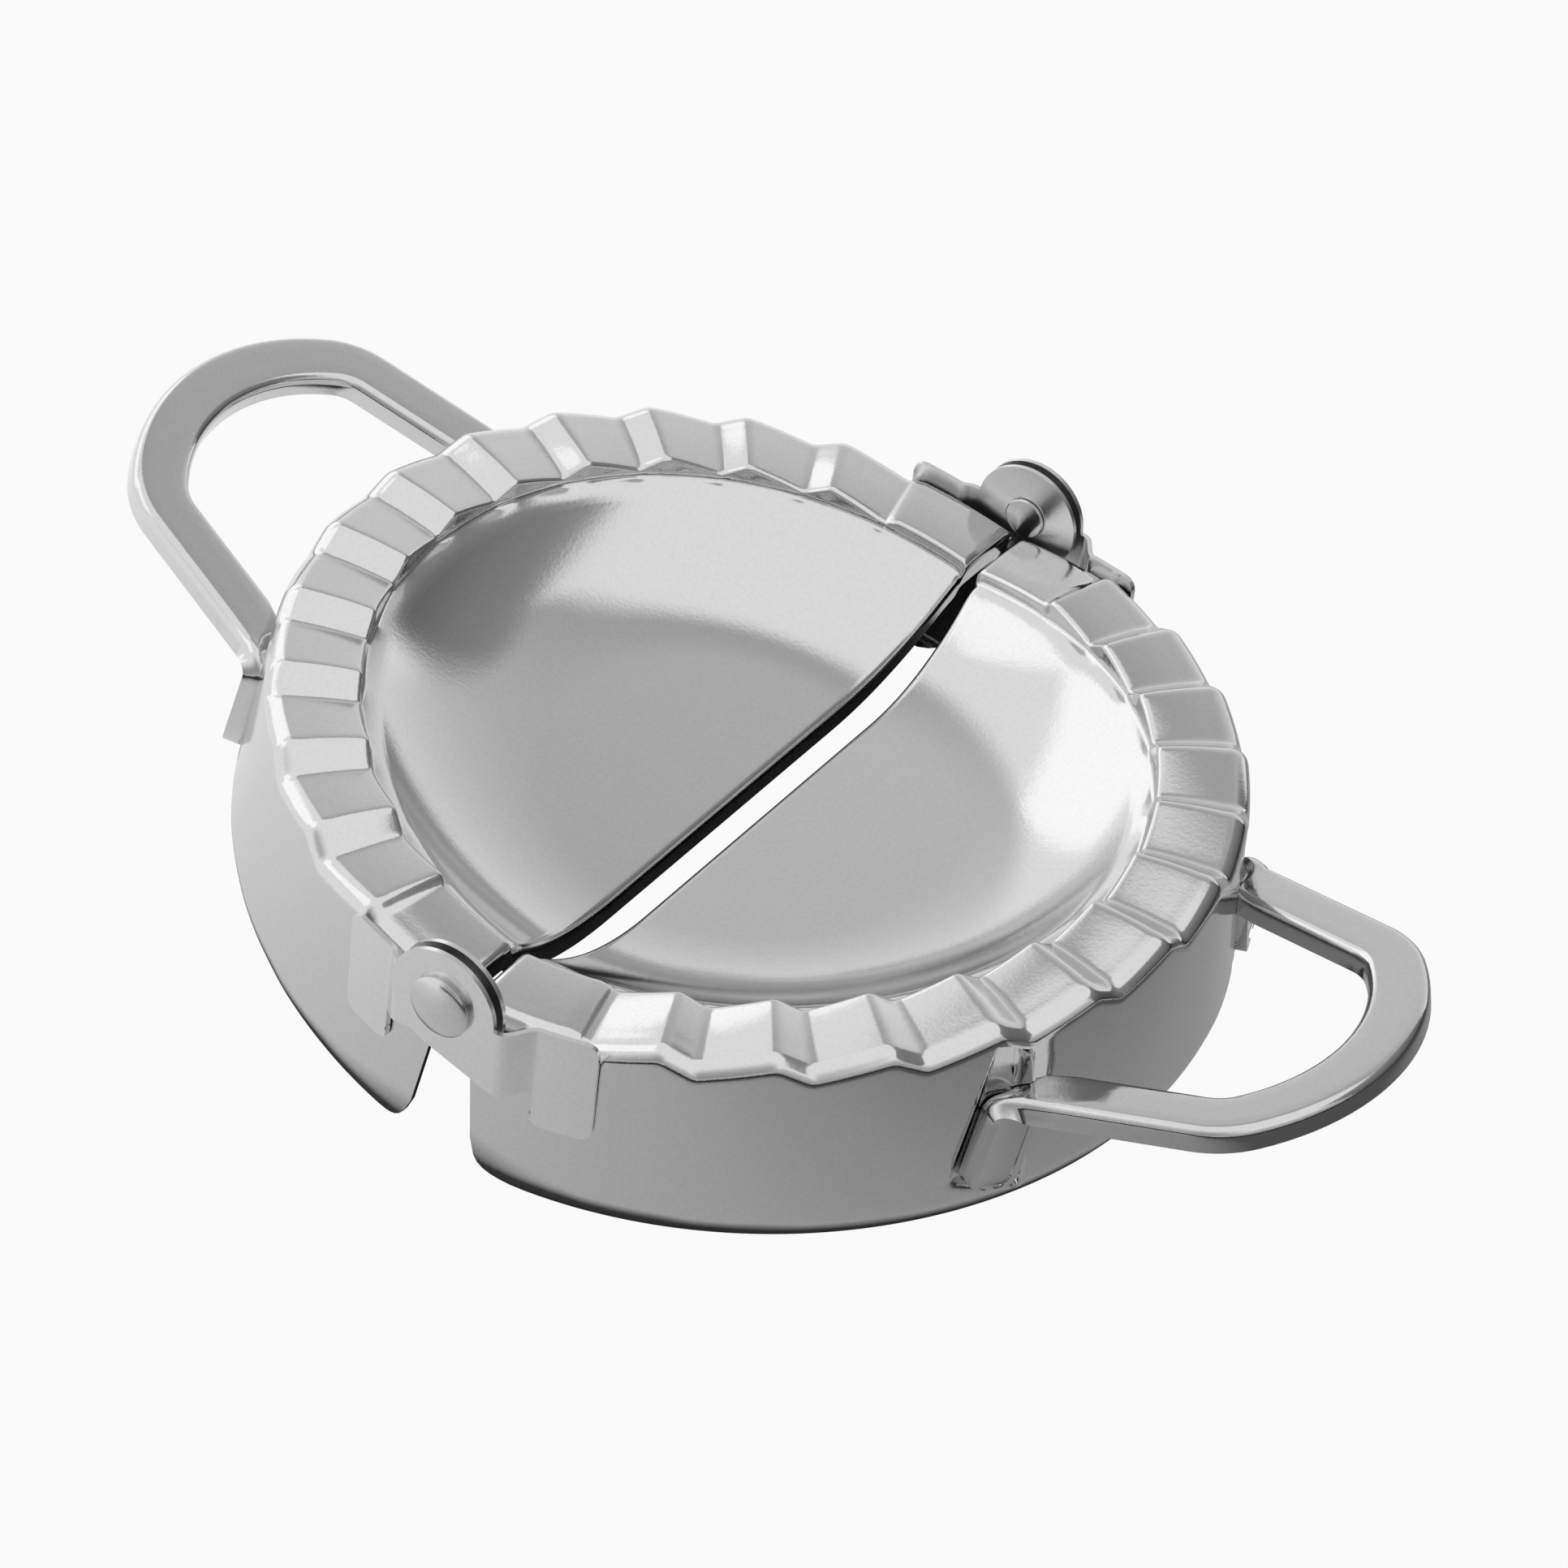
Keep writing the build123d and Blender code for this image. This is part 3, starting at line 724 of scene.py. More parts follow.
@dataclass
class Shell:
    """One stamped half: dish, crimped band, skirt and turned-down straight edge.

    The corners of the step between dish and band are runs from the band's inner edge, rises from
    its level and shares of the wave. Radii are taken from the outline's centre.
    """

    half: Half
    mat: bpy.types.Material
    crimp: Crimp = Crimp()
    recess: Recess = Recess()
    sheet: float = 0.6
    centre: float = CENTRE
    gap: float = 0.4
    skirt_gap: float = 1.2
    skirt_gap_level: float = -7.0
    skirt_radius: float = SKIRT_RADIUS
    skirt_depth: float = 22.0
    band_level: float = -0.85
    corner_radius: float = 2.2
    crown: float = 0.32
    band_inner: float = 38.3
    dish_level: float = -8.8
    floor_radius: float = 19.2
    rise_radius: float = 28.0
    rise_end: float = 35.9
    rise_margin: float = 0.2
    lip_inset: float = 1.2
    lip_height: float = 2.6
    free_corner: float = 5.0
    bend: float = 1.0
    flange_depth: float = 3.3
    pivot: float = 77.5
    pivot_share: float = 0.9
    middle_radii: tuple[float, ...] = (1.2, 1.6, 2.4, 4, 8, 13, 17)
    crown_radii: tuple[float, ...] = (41.2, 42.2, 43.2, 44.2, 45.0)
    crown_start: float = 2.0
    corner_turn: float = 80.0
    wave_fade: float = 10.0
    step_corners: tuple[tuple[float, float, float], ...] = (
        (-1.65, -1.93, 0.0),
        (-0.85, -1.56, 0.05),
        (-0.22, -1.36, 0.25),
        (0.02, -0.75, 0.75),
        (0.20, -0.05, 1.0),
        (1.30, 0.0, 1.0),
        (2.20, 0.0, 1.0),
    )
    skirt_start: float = 0.03
    recess_span: tuple[float, float] = (20.6, 36.2)
    edge_angles: tuple[float, ...] = (79, 81, 83, 85, 86.5, 87.5, 88.3, 89, 89.5, 90)
    closest: float = 0.12
    lip_curl: float = 1.6
    gap_blend: float = 1.2
    bend_turns: tuple[float, ...] = (15, 30, 50, 70, 90)
    flange_parts: tuple[float, ...] = (0.4, 0.95, 1.0)
    sharp: float = 50.0

    @property
    def skirt_top(self) -> float:
        """Level at which the skirt's straight wall starts."""
        return self.band_level - self.corner_radius

    def rise(self, radius: float) -> float:
        """Height of the dish's upper face."""
        run = max(0.0, radius - self.floor_radius)
        return self.dish_level + self.rise_radius - math.sqrt(self.rise_radius**2 - run**2)

    def profile(self) -> list[ProfilePoint]:
        """Draws the radial section from the middle of the dish to the cutting edge.

        Returns:
            The section's points, outwards and then down.
        """
        start = self.bend + self.gap - self.centre
        points = [ProfilePoint(r, self.dish_level, 0, 1) for r in (start, *self.middle_radii)]
        for r in spread(self.floor_radius, self.rise_end - self.rise_margin, 17):
            points.append(ProfilePoint(r, self.rise(r), 0, 1))
        inner, top = self.band_inner, self.band_level
        corners = [(self.rise_end, self.rise(self.rise_end), 0.0)]
        corners += [(inner + run, top + rise, wave) for run, rise, wave in self.step_corners]
        points += [ProfilePoint(r, z, w, 1) for r, z, w in rounded(corners, 2)]
        middle = self.skirt_radius - self.corner_radius
        flat = inner + self.crown_start
        for r in self.crown_radii:
            points.append(ProfilePoint(r, top - self.crown * ((r - flat) / (middle - flat)) ** 2, 1, 1))
        first = math.sin(math.radians(self.corner_turn))
        for a in spread(self.corner_turn, 0, 12):
            turn = math.radians(a)
            fall = (first - math.sin(turn)) / first
            level = top - self.crown - (self.corner_radius - self.crown) * fall
            flange = smoothstep(a, self.wave_fade, self.corner_turn)
            points.append(ProfilePoint(middle + self.corner_radius * math.cos(turn), level, 1, flange))
        for share in spread(self.skirt_start, 1.0, 40):
            points.append(ProfilePoint(self.skirt_radius, 0, 1 - share, 0, share))
        return points

    def angles(self) -> list[float]:
        """Lists the angles of the shell's columns, before they are fitted to the straight edge.

        Returns:
            Sorted angles, none closer together than the least distance.
        """
        marks = set(self.crimp.stations())
        for side in (1, -1):
            marks.update(round(side * a, 4) for a in spread(*self.recess_span, 52))
            marks.update(round(side * a, 4) for a in (self.pivot, *self.edge_angles))
        ordered = sorted(marks)
        kept = [ordered[0]]
        for a in ordered[1:]:
            if a - kept[-1] > self.closest:
                kept.append(a)
        return kept

    def fit_angle(self, angle: float, radius: float, edge: float) -> float:
        """Stretches an angle so that the last column lies along the straight edge.

        Args:
            angle: The column's angle, up to 90 degrees either way.
            radius: Distance from the outline's centre.
            edge: Distance of the straight edge from the hinge axis.

        Returns:
            The fitted angle.
        """
        last = math.degrees(math.acos(min(1.0, (edge - self.centre) / radius)))
        pivot = min(self.pivot, last * self.pivot_share)
        size = abs(angle)
        if size <= self.pivot:
            fitted = size * pivot / self.pivot
        else:
            fitted = pivot + (size - self.pivot) * (last - pivot) / (90 - self.pivot)
        return math.copysign(fitted, angle)

    def skirt_point(self, angle: float, share: float) -> Point:
        """Finds a point of the skirt.

        Args:
            angle: The fitted angle.
            share: 0 at the top of the skirt, 1 at the cutting edge.

        Returns:
            The point of the outer face in the half's flat frame.
        """
        a = math.radians(angle)
        x = self.centre + self.skirt_radius * math.cos(a)
        corner_x = self.skirt_gap + self.free_corner
        low = -self.skirt_depth
        if x < corner_x:
            drop = math.sqrt(max(0.0, self.free_corner**2 - (corner_x - x) ** 2))
            low = self.free_corner - self.skirt_depth - drop
        level = self.skirt_top + (low - self.skirt_top) * share
        lip = max(0.0, (self.lip_height - self.skirt_depth - level) / self.lip_height)
        radius = self.skirt_radius - self.lip_inset * lip**self.lip_curl
        pressed = self.recess.depth_share(abs(angle), level)
        if pressed > 0:
            seat = min(radius, self.recess.radius(abs(angle)))
            radius += (seat - radius) * pressed
        return (self.centre + radius * math.cos(a), radius * math.sin(a), level)

    def point(self, spot: ProfilePoint, angle: float) -> tuple[Point, float, float]:
        """Finds a point of the upper or outer face.

        Args:
            spot: The point of the section.
            angle: The column's angle, before it is fitted.

        Returns:
            The point in the half's flat frame, its fitted angle and its share of the wave.
        """
        edge = self.gap + self.bend * spot.flange
        if spot.skirt >= 0:
            level = self.skirt_top - (self.skirt_depth + self.skirt_top) * spot.skirt
            back = smoothstep(level, self.skirt_gap_level, self.skirt_gap_level + self.gap_blend)
            edge = self.skirt_gap + (self.gap - self.skirt_gap) * back
        fitted = self.fit_angle(angle, spot.radius, edge)
        share = spot.wave * self.crimp.reach(fitted)
        if spot.skirt >= 0:
            return self.skirt_point(fitted, spot.skirt), fitted, share
        a = math.radians(fitted)
        place = (self.centre + spot.radius * math.cos(a), spot.radius * math.sin(a), spot.level)
        return place, fitted, share

    def flange_points(self, start: Point, share: float) -> list[Point]:
        """Draws the bend and the turned-down edge beyond a point of the straight edge.

        Args:
            start: The point of the straight edge.
            share: Share of the full bend at that point.

        Returns:
            The points, away from the start.
        """
        x, y, z = start
        points = []
        for a in self.bend_turns:
            turn = math.radians(a)
            run = self.bend * share
            points.append((x - run * math.sin(turn), y, z - run * (1 - math.cos(turn))))
        last = points[-1]
        rest = (self.flange_depth - self.bend) * share
        for part in self.flange_parts:
            points.append((last[0], last[1], last[2] - rest * part))
        return points

    def sheet_rows(self) -> tuple[list[Point], list[float], list[float], int]:
        """Draws the whole sheet row by row.

        Returns:
            The points, their angles, their shares of the wave and the length of a row.
        """
        points: list[Point] = []
        turns: list[float] = []
        shares: list[float] = []
        angles = self.angles()
        for spot in self.profile():
            row = [self.point(spot, a) for a in angles]
            before = self.flange_points(row[0][0], spot.flange)[::-1]
            after = self.flange_points(row[-1][0], spot.flange)
            points += [*before, *(r[0] for r in row), *after]
            turns += [*(row[0][1] for _ in before), *(r[1] for r in row), *(row[-1][1] for _ in after)]
            shares += [*(0.0 for _ in before), *(r[2] for r in row), *(0.0 for _ in after)]
        return points, turns, shares, len(before) + len(row) + len(after)

    def build(self) -> bpy.types.Object:
        """Builds the shell and stands it in for its CAD node.

        Returns:
            The finished piece.
        """
        points, turns, shares, width = self.sheet_rows()
        placed = [STANCE.place(self.half, p) for p in points]
        obj = link_mesh(f"{self.half.word}_shell", placed, grid_faces(len(points) // width, width))
        for label, values in (("angle", turns), ("share", shares)):
            obj.data.attributes.new(label, "FLOAT", "POINT").data.foreach_set("value", values)
        origin = STANCE.place(self.half, (0, 0, 0))
        rise_way = (STANCE.place(self.half, (0, 0, 1)) - origin) / MM
        self.crimp.press(obj, rise_way, self.mat)
        for label in ("angle", "share"):
            obj.data.attributes.remove(obj.data.attributes[label])
        self.face_up(obj)
        thicken(obj, self.sheet * MM, -1)
        soften(obj, self.sharp)
        dress(obj, self.mat, self.half.body, [f"shell_{self.half.word}"])
        return obj

    def face_up(self, obj: bpy.types.Object) -> None:
        """Turns the open sheet's faces so that the dish faces up.

        Args:
            obj: The open sheet.
        """
        middle = STANCE.place(self.half, (15.0, 0.0, self.dish_level))
        nearest = min(obj.data.polygons, key=lambda p: (p.center - middle).length)
        if nearest.normal.z < 0:
            obj.data.flip_normals()


# ------------------------------------------------------------------- handles
@dataclass(frozen=True)
class Station:
    """A place along the handle's strip with the directions of its section."""

    point: Vector
    across: Vector
    normal: Vector
    taper: float = 0.0
    fill: float = 0.0


@dataclass
class Handle:
    """Channel strip bent to a finger loop, with a leg at each end."""

    half: Half
    mat: bpy.types.Material
    level: float = -7.2
    slope: float = 9.0
    sheet: float = 0.8
    height: float = 2.5
    width: float = 5.8
    edge: float = 1.0
    offset: float = 18.6
    spread: float = 12.5
    reach: float = 21.15
    loop: float = 21.0
    corner: float = 7.0
    bend: float = 3.6
    lean: float = LEG_LEAN
    drop: float = LEG_DROP
    foot_round: float = 1.5
    skirt_radius: float = SKIRT_RADIUS
    centre: float = CENTRE
    seat_angle: float = SEAT_ANGLE
    seat_distance: float = SEAT_DISTANCE + WELD_GAP
    notch: float = SEAT_INNER + WELD_GAP
    clear: float = SKIRT_RADIUS + WELD_GAP
    notch_run: tuple[float, float] = (0.3, 0.6)
    leg_fill: float = 0.86
    fill_start: float = 0.35
    side_drop: float = 0.4
    round_steps: tuple[float, ...] = (0.3, 0.55, 0.75, 0.9, 1.0)
    sharp: float = 32.0

    def plane_point(self, u: float, v: float) -> Vector:
        """A point of the handle's top face, u outwards from the skirt."""
        a = math.radians(self.slope)
        return Vector((self.skirt_radius + u * math.cos(a), v, self.level + u * math.sin(a)))

    def arm_stations(self) -> list[Station]:
        """Lays stations from the root of the +Y arm round to the middle of the loop.

        Returns:
            The stations, from the root outwards.
        """
        a = math.radians(self.slope)
        normal = Vector((-math.sin(a), 0, math.cos(a)))
        s, c = math.sin(math.radians(self.spread)), math.cos(math.radians(self.spread))
        end = self.reach - self.loop
        lane = (-self.corner * s, self.offset - self.corner * c)
        dot = c * (lane[0] - end) - s * lane[1]
        gap = (lane[0] - end) ** 2 + lane[1] ** 2 - (self.loop - self.corner) ** 2
        run = math.sqrt(dot**2 - gap) - dot
        middle = (lane[0] + run * c, lane[1] - run * s)
        last = math.atan2(middle[1], middle[0] - end)
        flat: list[tuple[float, float, float]] = []
        for share in spread(0, 1, 10):
            flat.append((run * share * c, self.offset - run * share * s, math.atan2(-s, c)))
        for t in spread(math.radians(90 - self.spread), last, 12)[1:]:
            u, v = middle[0] + self.corner * math.cos(t), middle[1] + self.corner * math.sin(t)
            flat.append((u, v, t - math.pi / 2))
        for t in spread(last, 0, 12)[1:]:
            flat.append((end + self.loop * math.cos(t), self.loop * math.sin(t), t - math.pi / 2))
        stations = []
        for u, v, heading in flat:
            ahead = self.plane_point(math.cos(heading), math.sin(heading)) - self.plane_point(0, 0)
            across = ahead.cross(normal)
            across = across if across.y > 0 or across.x > 0 else -across
            stations.append(Station(self.plane_point(u, v), across, normal))
        return stations

    def leg_stations(self) -> list[Station]:
        """Lays stations from the +Y leg's foot up and round the bend to the arm's root.

        Returns:
            The stations, from the foot upwards.
        """
        slope, turn = math.radians(self.slope), math.radians(self.spread)
        seat = math.radians(self.seat_angle)
        lean = math.radians(self.lean)
        seat_out = Vector((math.cos(seat), math.sin(seat), 0))
        along = Vector((-math.sin(seat), math.cos(seat), 0))
        inward = -Vector(
            (math.cos(turn) * math.cos(slope), -math.sin(turn), math.cos(turn) * math.sin(slope))
        )
        root = self.plane_point(0, self.offset)
        middle = Vector((self.centre, 0, 0))
        reach = (self.seat_distance - (root - middle).dot(seat_out)) / inward.dot(seat_out)
        corner = root + inward * reach
        down = along * math.sin(lean) - Vector((0, 0, 1)) * math.cos(lean)
        angle = inward.angle(down)
        tangent = self.bend * math.tan(angle / 2)
        start = corner - inward * tangent
        toward = (down - inward * down.dot(inward)).normalized()
        first_normal = Vector((-math.sin(slope), 0, math.cos(slope)))
        stations = []
        for share in spread(0, 1, 14):
            a = angle * share
            point = start + inward * (self.bend * math.sin(a)) + toward * (self.bend * (1 - math.cos(a)))
            forward = inward * math.cos(a) + toward * math.sin(a)
            normal = first_normal * (1 - share) + (-seat_out) * share
            normal = (normal - forward * normal.dot(forward)).normalized()
            across = forward.cross(normal)
            across = -across if across.dot(along) < 0 else across
            fill = self.leg_fill * smoothstep(share, self.fill_start, 1.0)
            stations.append(Station(point, across, normal, 0.0, fill))
        length = self.drop / math.cos(lean)
        across = down.cross(-seat_out)
        across = -across if across.dot(along) < 0 else across
        steps = spread(tangent, length - self.foot_round, 8)[1:]
        steps += [length - self.foot_round * (1 - share) for share in self.round_steps]
        for step in steps:
            rounding = max(0.0, step - (length - self.foot_round))
            taper = self.foot_round - math.sqrt(self.foot_round**2 - rounding**2)
            stations.append(Station(corner + down * step, across, -seat_out, taper, self.leg_fill))
        return stations[::-1]

    def arc(
        self, side: int, drop: float, radius: float, angles: Sequence[float]
    ) -> list[tuple[float, float]]:
        """Draws a rounded corner of the channel.

        Args:
            side: -1 or 1, the side of the channel.
            drop: How far below the top face the corner's centre lies.
            radius: The corner's radius.
            angles: Angles of its points in degrees.

        Returns:
            The corner's points, across and up.
        """
        middle = side * (self.width / 2 - self.edge)
        turns = [math.radians(a) for a in angles]
        return [(middle + radius * math.cos(t), -drop + radius * math.sin(t)) for t in turns]

    def section(self, station: Station) -> list[Vector]:
        """Draws the closed outline of the channel at a station.

        Args:
            station: The station.

        Returns:
            The outline's points, in the half's flat frame.
        """
        half, low = self.width / 2, -self.height
        side = low / 2 - self.side_drop
        small = self.edge - self.sheet
        deep = self.sheet - station.fill * (low + self.sheet) + small
        outline = [(-half, low), (-half, side), *self.arc(-1, self.edge, self.edge, spread(180, 90, 6))]
        outline += [(-half * 0.3, 0.0), (half * 0.3, 0.0)]
        outline += [*self.arc(1, self.edge, self.edge, spread(90, 0, 6)), (half, side), (half, low)]
        outline += [(half - self.sheet, low), *self.arc(1, deep, small, (0, 45, 90))]
        outline += [*self.arc(-1, deep, small, (90, 135, 180)), (-half + self.sheet, low)]
        points = []
        for x, y in outline:
            x = math.copysign(max(0.0, abs(x) - station.taper), x) if abs(x) > half * 0.5 else x
            points.append(self.coped(station.point + station.across * x + station.normal * y))
        return points

    def coped(self, point: Vector) -> Vector:
        """Moves a point that would lie inside the round skirt out to its face.

        Args:
            point: The point in the half's flat frame.

        Returns:
            The point, moved where it has to.
        """
        seat = math.radians(self.seat_angle)
        side = 1 if point.y > 0 else -1
        along = (point.x - self.centre) * -math.sin(seat) + point.y * side * math.cos(seat)
        radial = math.hypot(point.x - self.centre, point.y)
        before, width = self.notch_run
        push = max(0.0, self.clear - radial) * smoothstep(self.notch + before - along, 0.0, width)
        grow = 1 + push / radial
        return Vector((self.centre + (point.x - self.centre) * grow, point.y * grow, point.z))

    def mirrored(self, station: Station) -> Station:
        """The same station on the -Y side."""
        ways = (Vector((v.x, -v.y, v.z)) for v in (station.point, station.across, station.normal))
        return Station(*ways, station.taper, station.fill)

    def build(self) -> bpy.types.Object:
        """Builds the handle and stands it in for its CAD node.

        Returns:
            The finished piece.
        """
        one_side = self.leg_stations() + self.arm_stations()
        stations = one_side + [self.mirrored(s) for s in one_side[:-1][::-1]]
        points: list[Vector] = []
        for station in stations:
            points += [STANCE.place(self.half, tuple(p)) for p in self.section(station)]
        width = len(points) // len(stations)
        faces: list[tuple[int, ...]] = grid_faces(len(stations), width, closed=True)
        last = len(points) - width
        faces.append(tuple(range(width)))
        faces.append(tuple(range(last, last + width)))
        obj = new_object(f"{self.half.word}_handle", points, faces)
        soften(obj, self.sharp)
        dress(obj, self.mat, self.half.body, [f"handle_{self.half.word}"])
        return obj


# -------------------------------------------------------------------- hinges
@dataclass(frozen=True)
class LeafShape:
    """Sizes of one kind of hinge leaf."""

    face: float
    fold: float
    pad_start: float
    pad_end: float
    lean: float
    bore: float


OUTER_LEAF = LeafShape(49.6, 6.6, 8.4, 14.6, 4.0, 1.60)
INNER_LEAF = LeafShape(48.2, 6.5, 7.6, 13.0, 11.0, 1.64)


@dataclass
class Leaf:
    """Hinge leaf: round ear, jog and a pad on the skirt."""

    half: Half
    end: End
    shape: LeafShape
    mat: bpy.types.Material
    sheet: float = 0.5
    ear: float = 5.8
    top: float = -0.5
    bottom: float = -12.0
    corner: float = 1.3
    tongue: tuple[float, float] = (5.4, -7.9)
    pad_radius: float = SKIRT_RADIUS + WELD_GAP
    centre: float = CENTRE
    fold_round: float = 0.4
    neck: tuple[float, ...] = (5.5, 5.6, 5.7, 5.76, 5.8, 5.9)
    pad_left: tuple[float, ...] = (0.0, 0.15, 0.4, 0.8, 1.3)
    pad_right: tuple[float, ...] = (1.3, 0.8, 0.4, 0.12, 0.0)
    pad_middle: tuple[float, float] = (1.8, 1.6)
    sharp: float = 40.0

    def shift(self, z: float) -> float:
        """How far the leaning folds have moved outwards at a height."""
        return z * math.tan(math.radians(self.shape.lean))

    @property
    def base(self) -> float:
        """Shift of the folds a millimetre below the leaf, where the sheet is laid flat."""
        return self.shift(self.bottom - 1)

    def pad(self, flat_x: float) -> float:
        """Distance of the pad's round inner face from the middle plane."""
        return math.sqrt(self.pad_radius**2 - (flat_x - self.centre) ** 2)

    def folded(self, flat_x: float) -> float:
        """Finds the depth of the sheet as if its folds were sharp.

        Args:
            flat_x: Distance from the axis at the level where the sheet is laid flat.

        Returns:
            The distance of the inner face from the middle plane.
        """
        fold, start = self.shape.fold + self.base, self.shape.pad_start + self.base
        if flat_x <= fold:
            return self.shape.face
        if flat_x >= start:
            return self.pad(flat_x)
        share = (flat_x - fold) / (start - fold)
        return self.shape.face + (self.pad(start) - self.shape.face) * share

    def depth(self, x: float, z: float) -> float:
        """Finds the depth of the sheet, its folds rounded.

        Args:
            x: Distance from the axis.
            z: Level from the axis.

        Returns:
            The distance of the inner face from the middle plane.
        """
        flat = x - self.shift(z) + self.base
        samples = spread(-self.fold_round, self.fold_round, 8)
        rounded_depth = sum(self.folded(flat + s) for s in samples) / len(samples)
        return max(rounded_depth, self.pad(flat) if flat > 0 else 0)

    def limits(self, x: float) -> tuple[float, float]:
        """Finds the leaf's outline at a distance from the axis.

        Args:
            x: Distance from the axis.

        Returns:
            The lowest and the highest level.
        """
        tall = math.sqrt(max(0.0, self.ear**2 - x * x))
        corner = self.tongue
        touch_angle = math.atan2(corner[1], corner[0]) - math.acos(self.ear / math.hypot(*corner))
        touch = (self.ear * math.cos(touch_angle), self.ear * math.sin(touch_angle))
        high = self.top if x >= self.ear else tall
        if x <= touch[0]:
            low = -tall
        elif x <= corner[0]:
            low = touch[1] + (corner[1] - touch[1]) * (x - touch[0]) / (corner[0] - touch[0])
        else:
            low = corner[1]
        return low, high

    def build(self) -> bpy.types.Object:
        """Builds the leaf and stands it in for its CAD node.

        Returns:
            The finished piece.
        """
        outline = self.outline()
        points: list[Vector] = []
        for x_low, x_high, low, high in outline:
            knee = max(low, self.tongue[1])
            for z in (*spread(low, knee, 12)[:-1], *spread(knee, high, 30)):
                x = x_low + (x_high - x_low) * (z - low) / max(high - low, 0.001)
                local = (x, self.depth(x, z) * self.end_sign(), z)
                points.append(STANCE.place(self.half, local))
        grid = grid_faces(len(outline), len(points) // len(outline))
        faces = [face for face in grid if self.has_area(points, face)]
        obj = new_object(f"{self.half.word}_leaf_{self.end.word}", points, faces)
        self.face_out(obj)
        thicken(obj, self.sheet * MM, 1)
        self.drill(obj)
        soften(obj, self.sharp)
        dress(obj, self.mat, self.half.body, [f"leaf_{self.half.word}_{self.end.word}"])
        return obj

    @staticmethod
    def has_area(points: Sequence[Vector], face: Sequence[int]) -> bool:
        """Says whether a face isn't squeezed to a line.

        Args:
            points: Positions in metres.
            face: Indices of the face's four corners.

        Returns:
            True where the face has an area.
        """
        a, b, c, d = (points[n] for n in face)
        return (c - a).cross(d - b).length > 1e-12

    def end_sign(self) -> float:
        """Sign of local y in the half's flat frame for this end."""
        return self.end.value * self.half.value

    def column(self, x: float) -> tuple[float, float, float, float]:
        """An upright column of the outline."""
        return (x, x, *self.limits(x))

    def cut(self, inset: float) -> float:
        """How far the pad's rounded corner cuts in at a distance from its side."""
        return self.corner - math.sqrt(self.corner**2 - max(0.0, self.corner - inset) ** 2)

    def outline(self) -> list[tuple[float, float, float, float]]:
        """Draws the leaf as columns, from the ear to the end of the pad.

        Returns:
            Each column's x at its low and its high end, and its two levels.
        """
        columns = [self.column(self.ear * math.cos(math.radians(a))) for a in spread(180, 95, 22)]
        columns += [self.column(x) for x in (*spread(-0.2, self.tongue[0], 26), *self.neck)]
        start, pad_start = self.neck[-1], self.shape.pad_start
        left_low, left_high = pad_start + self.shift(self.tongue[1]), pad_start + self.shift(self.top)
        for share in spread(0, 1, 10)[1:]:
            ends = (start + (left - start) * share for left in (left_low, left_high))
            columns.append((*ends, self.tongue[1], self.top))
        wide = self.shape.pad_end - pad_start
        first, last = self.pad_middle
        parts = [*self.pad_left, *spread(first, wide - last, 8), *(wide - inset for inset in self.pad_right)]
        for part in parts:
            low = self.bottom + self.cut(part) + self.cut(wide - part)
            high = self.top - self.cut(wide - part)
            x = pad_start + part
            columns.append((x + self.shift(low), x + self.shift(high), low, high))
        return columns

    def face_out(self, obj: bpy.types.Object) -> None:
        """Turns the open sheet's faces away from the middle of the press.

        Args:
            obj: The open sheet.
        """
        polygon = obj.data.polygons[0]
        if polygon.normal.y * self.end.value < 0:
            obj.data.flip_normals()

    def drill(self, obj: bpy.types.Object) -> None:
        """Cuts the rivet hole through the ear.

        Args:
            obj: The leaf.
        """
        tool = link_mesh("drill", [], [])
        radius = self.shape.bore * MM
        work = bmesh.new()
        bmesh.ops.create_cone(work, cap_ends=True, segments=48, radius1=radius, radius2=radius, depth=4 * MM)
        work.to_mesh(tool.data)
        work.free()
        middle = STANCE.place(self.half, (0, (self.shape.face + self.sheet / 2) * self.end_sign(), 0))
        tool.data.transform(Matrix.Translation(middle) @ Matrix.Rotation(math.pi / 2, 4, "X"))
        cut = obj.modifiers.new("hole", "BOOLEAN")
        cut.operation = "DIFFERENCE"
        cut.solver = "EXACT"
        cut.object = tool
        settle(obj)
        bpy.data.objects.remove(tool)


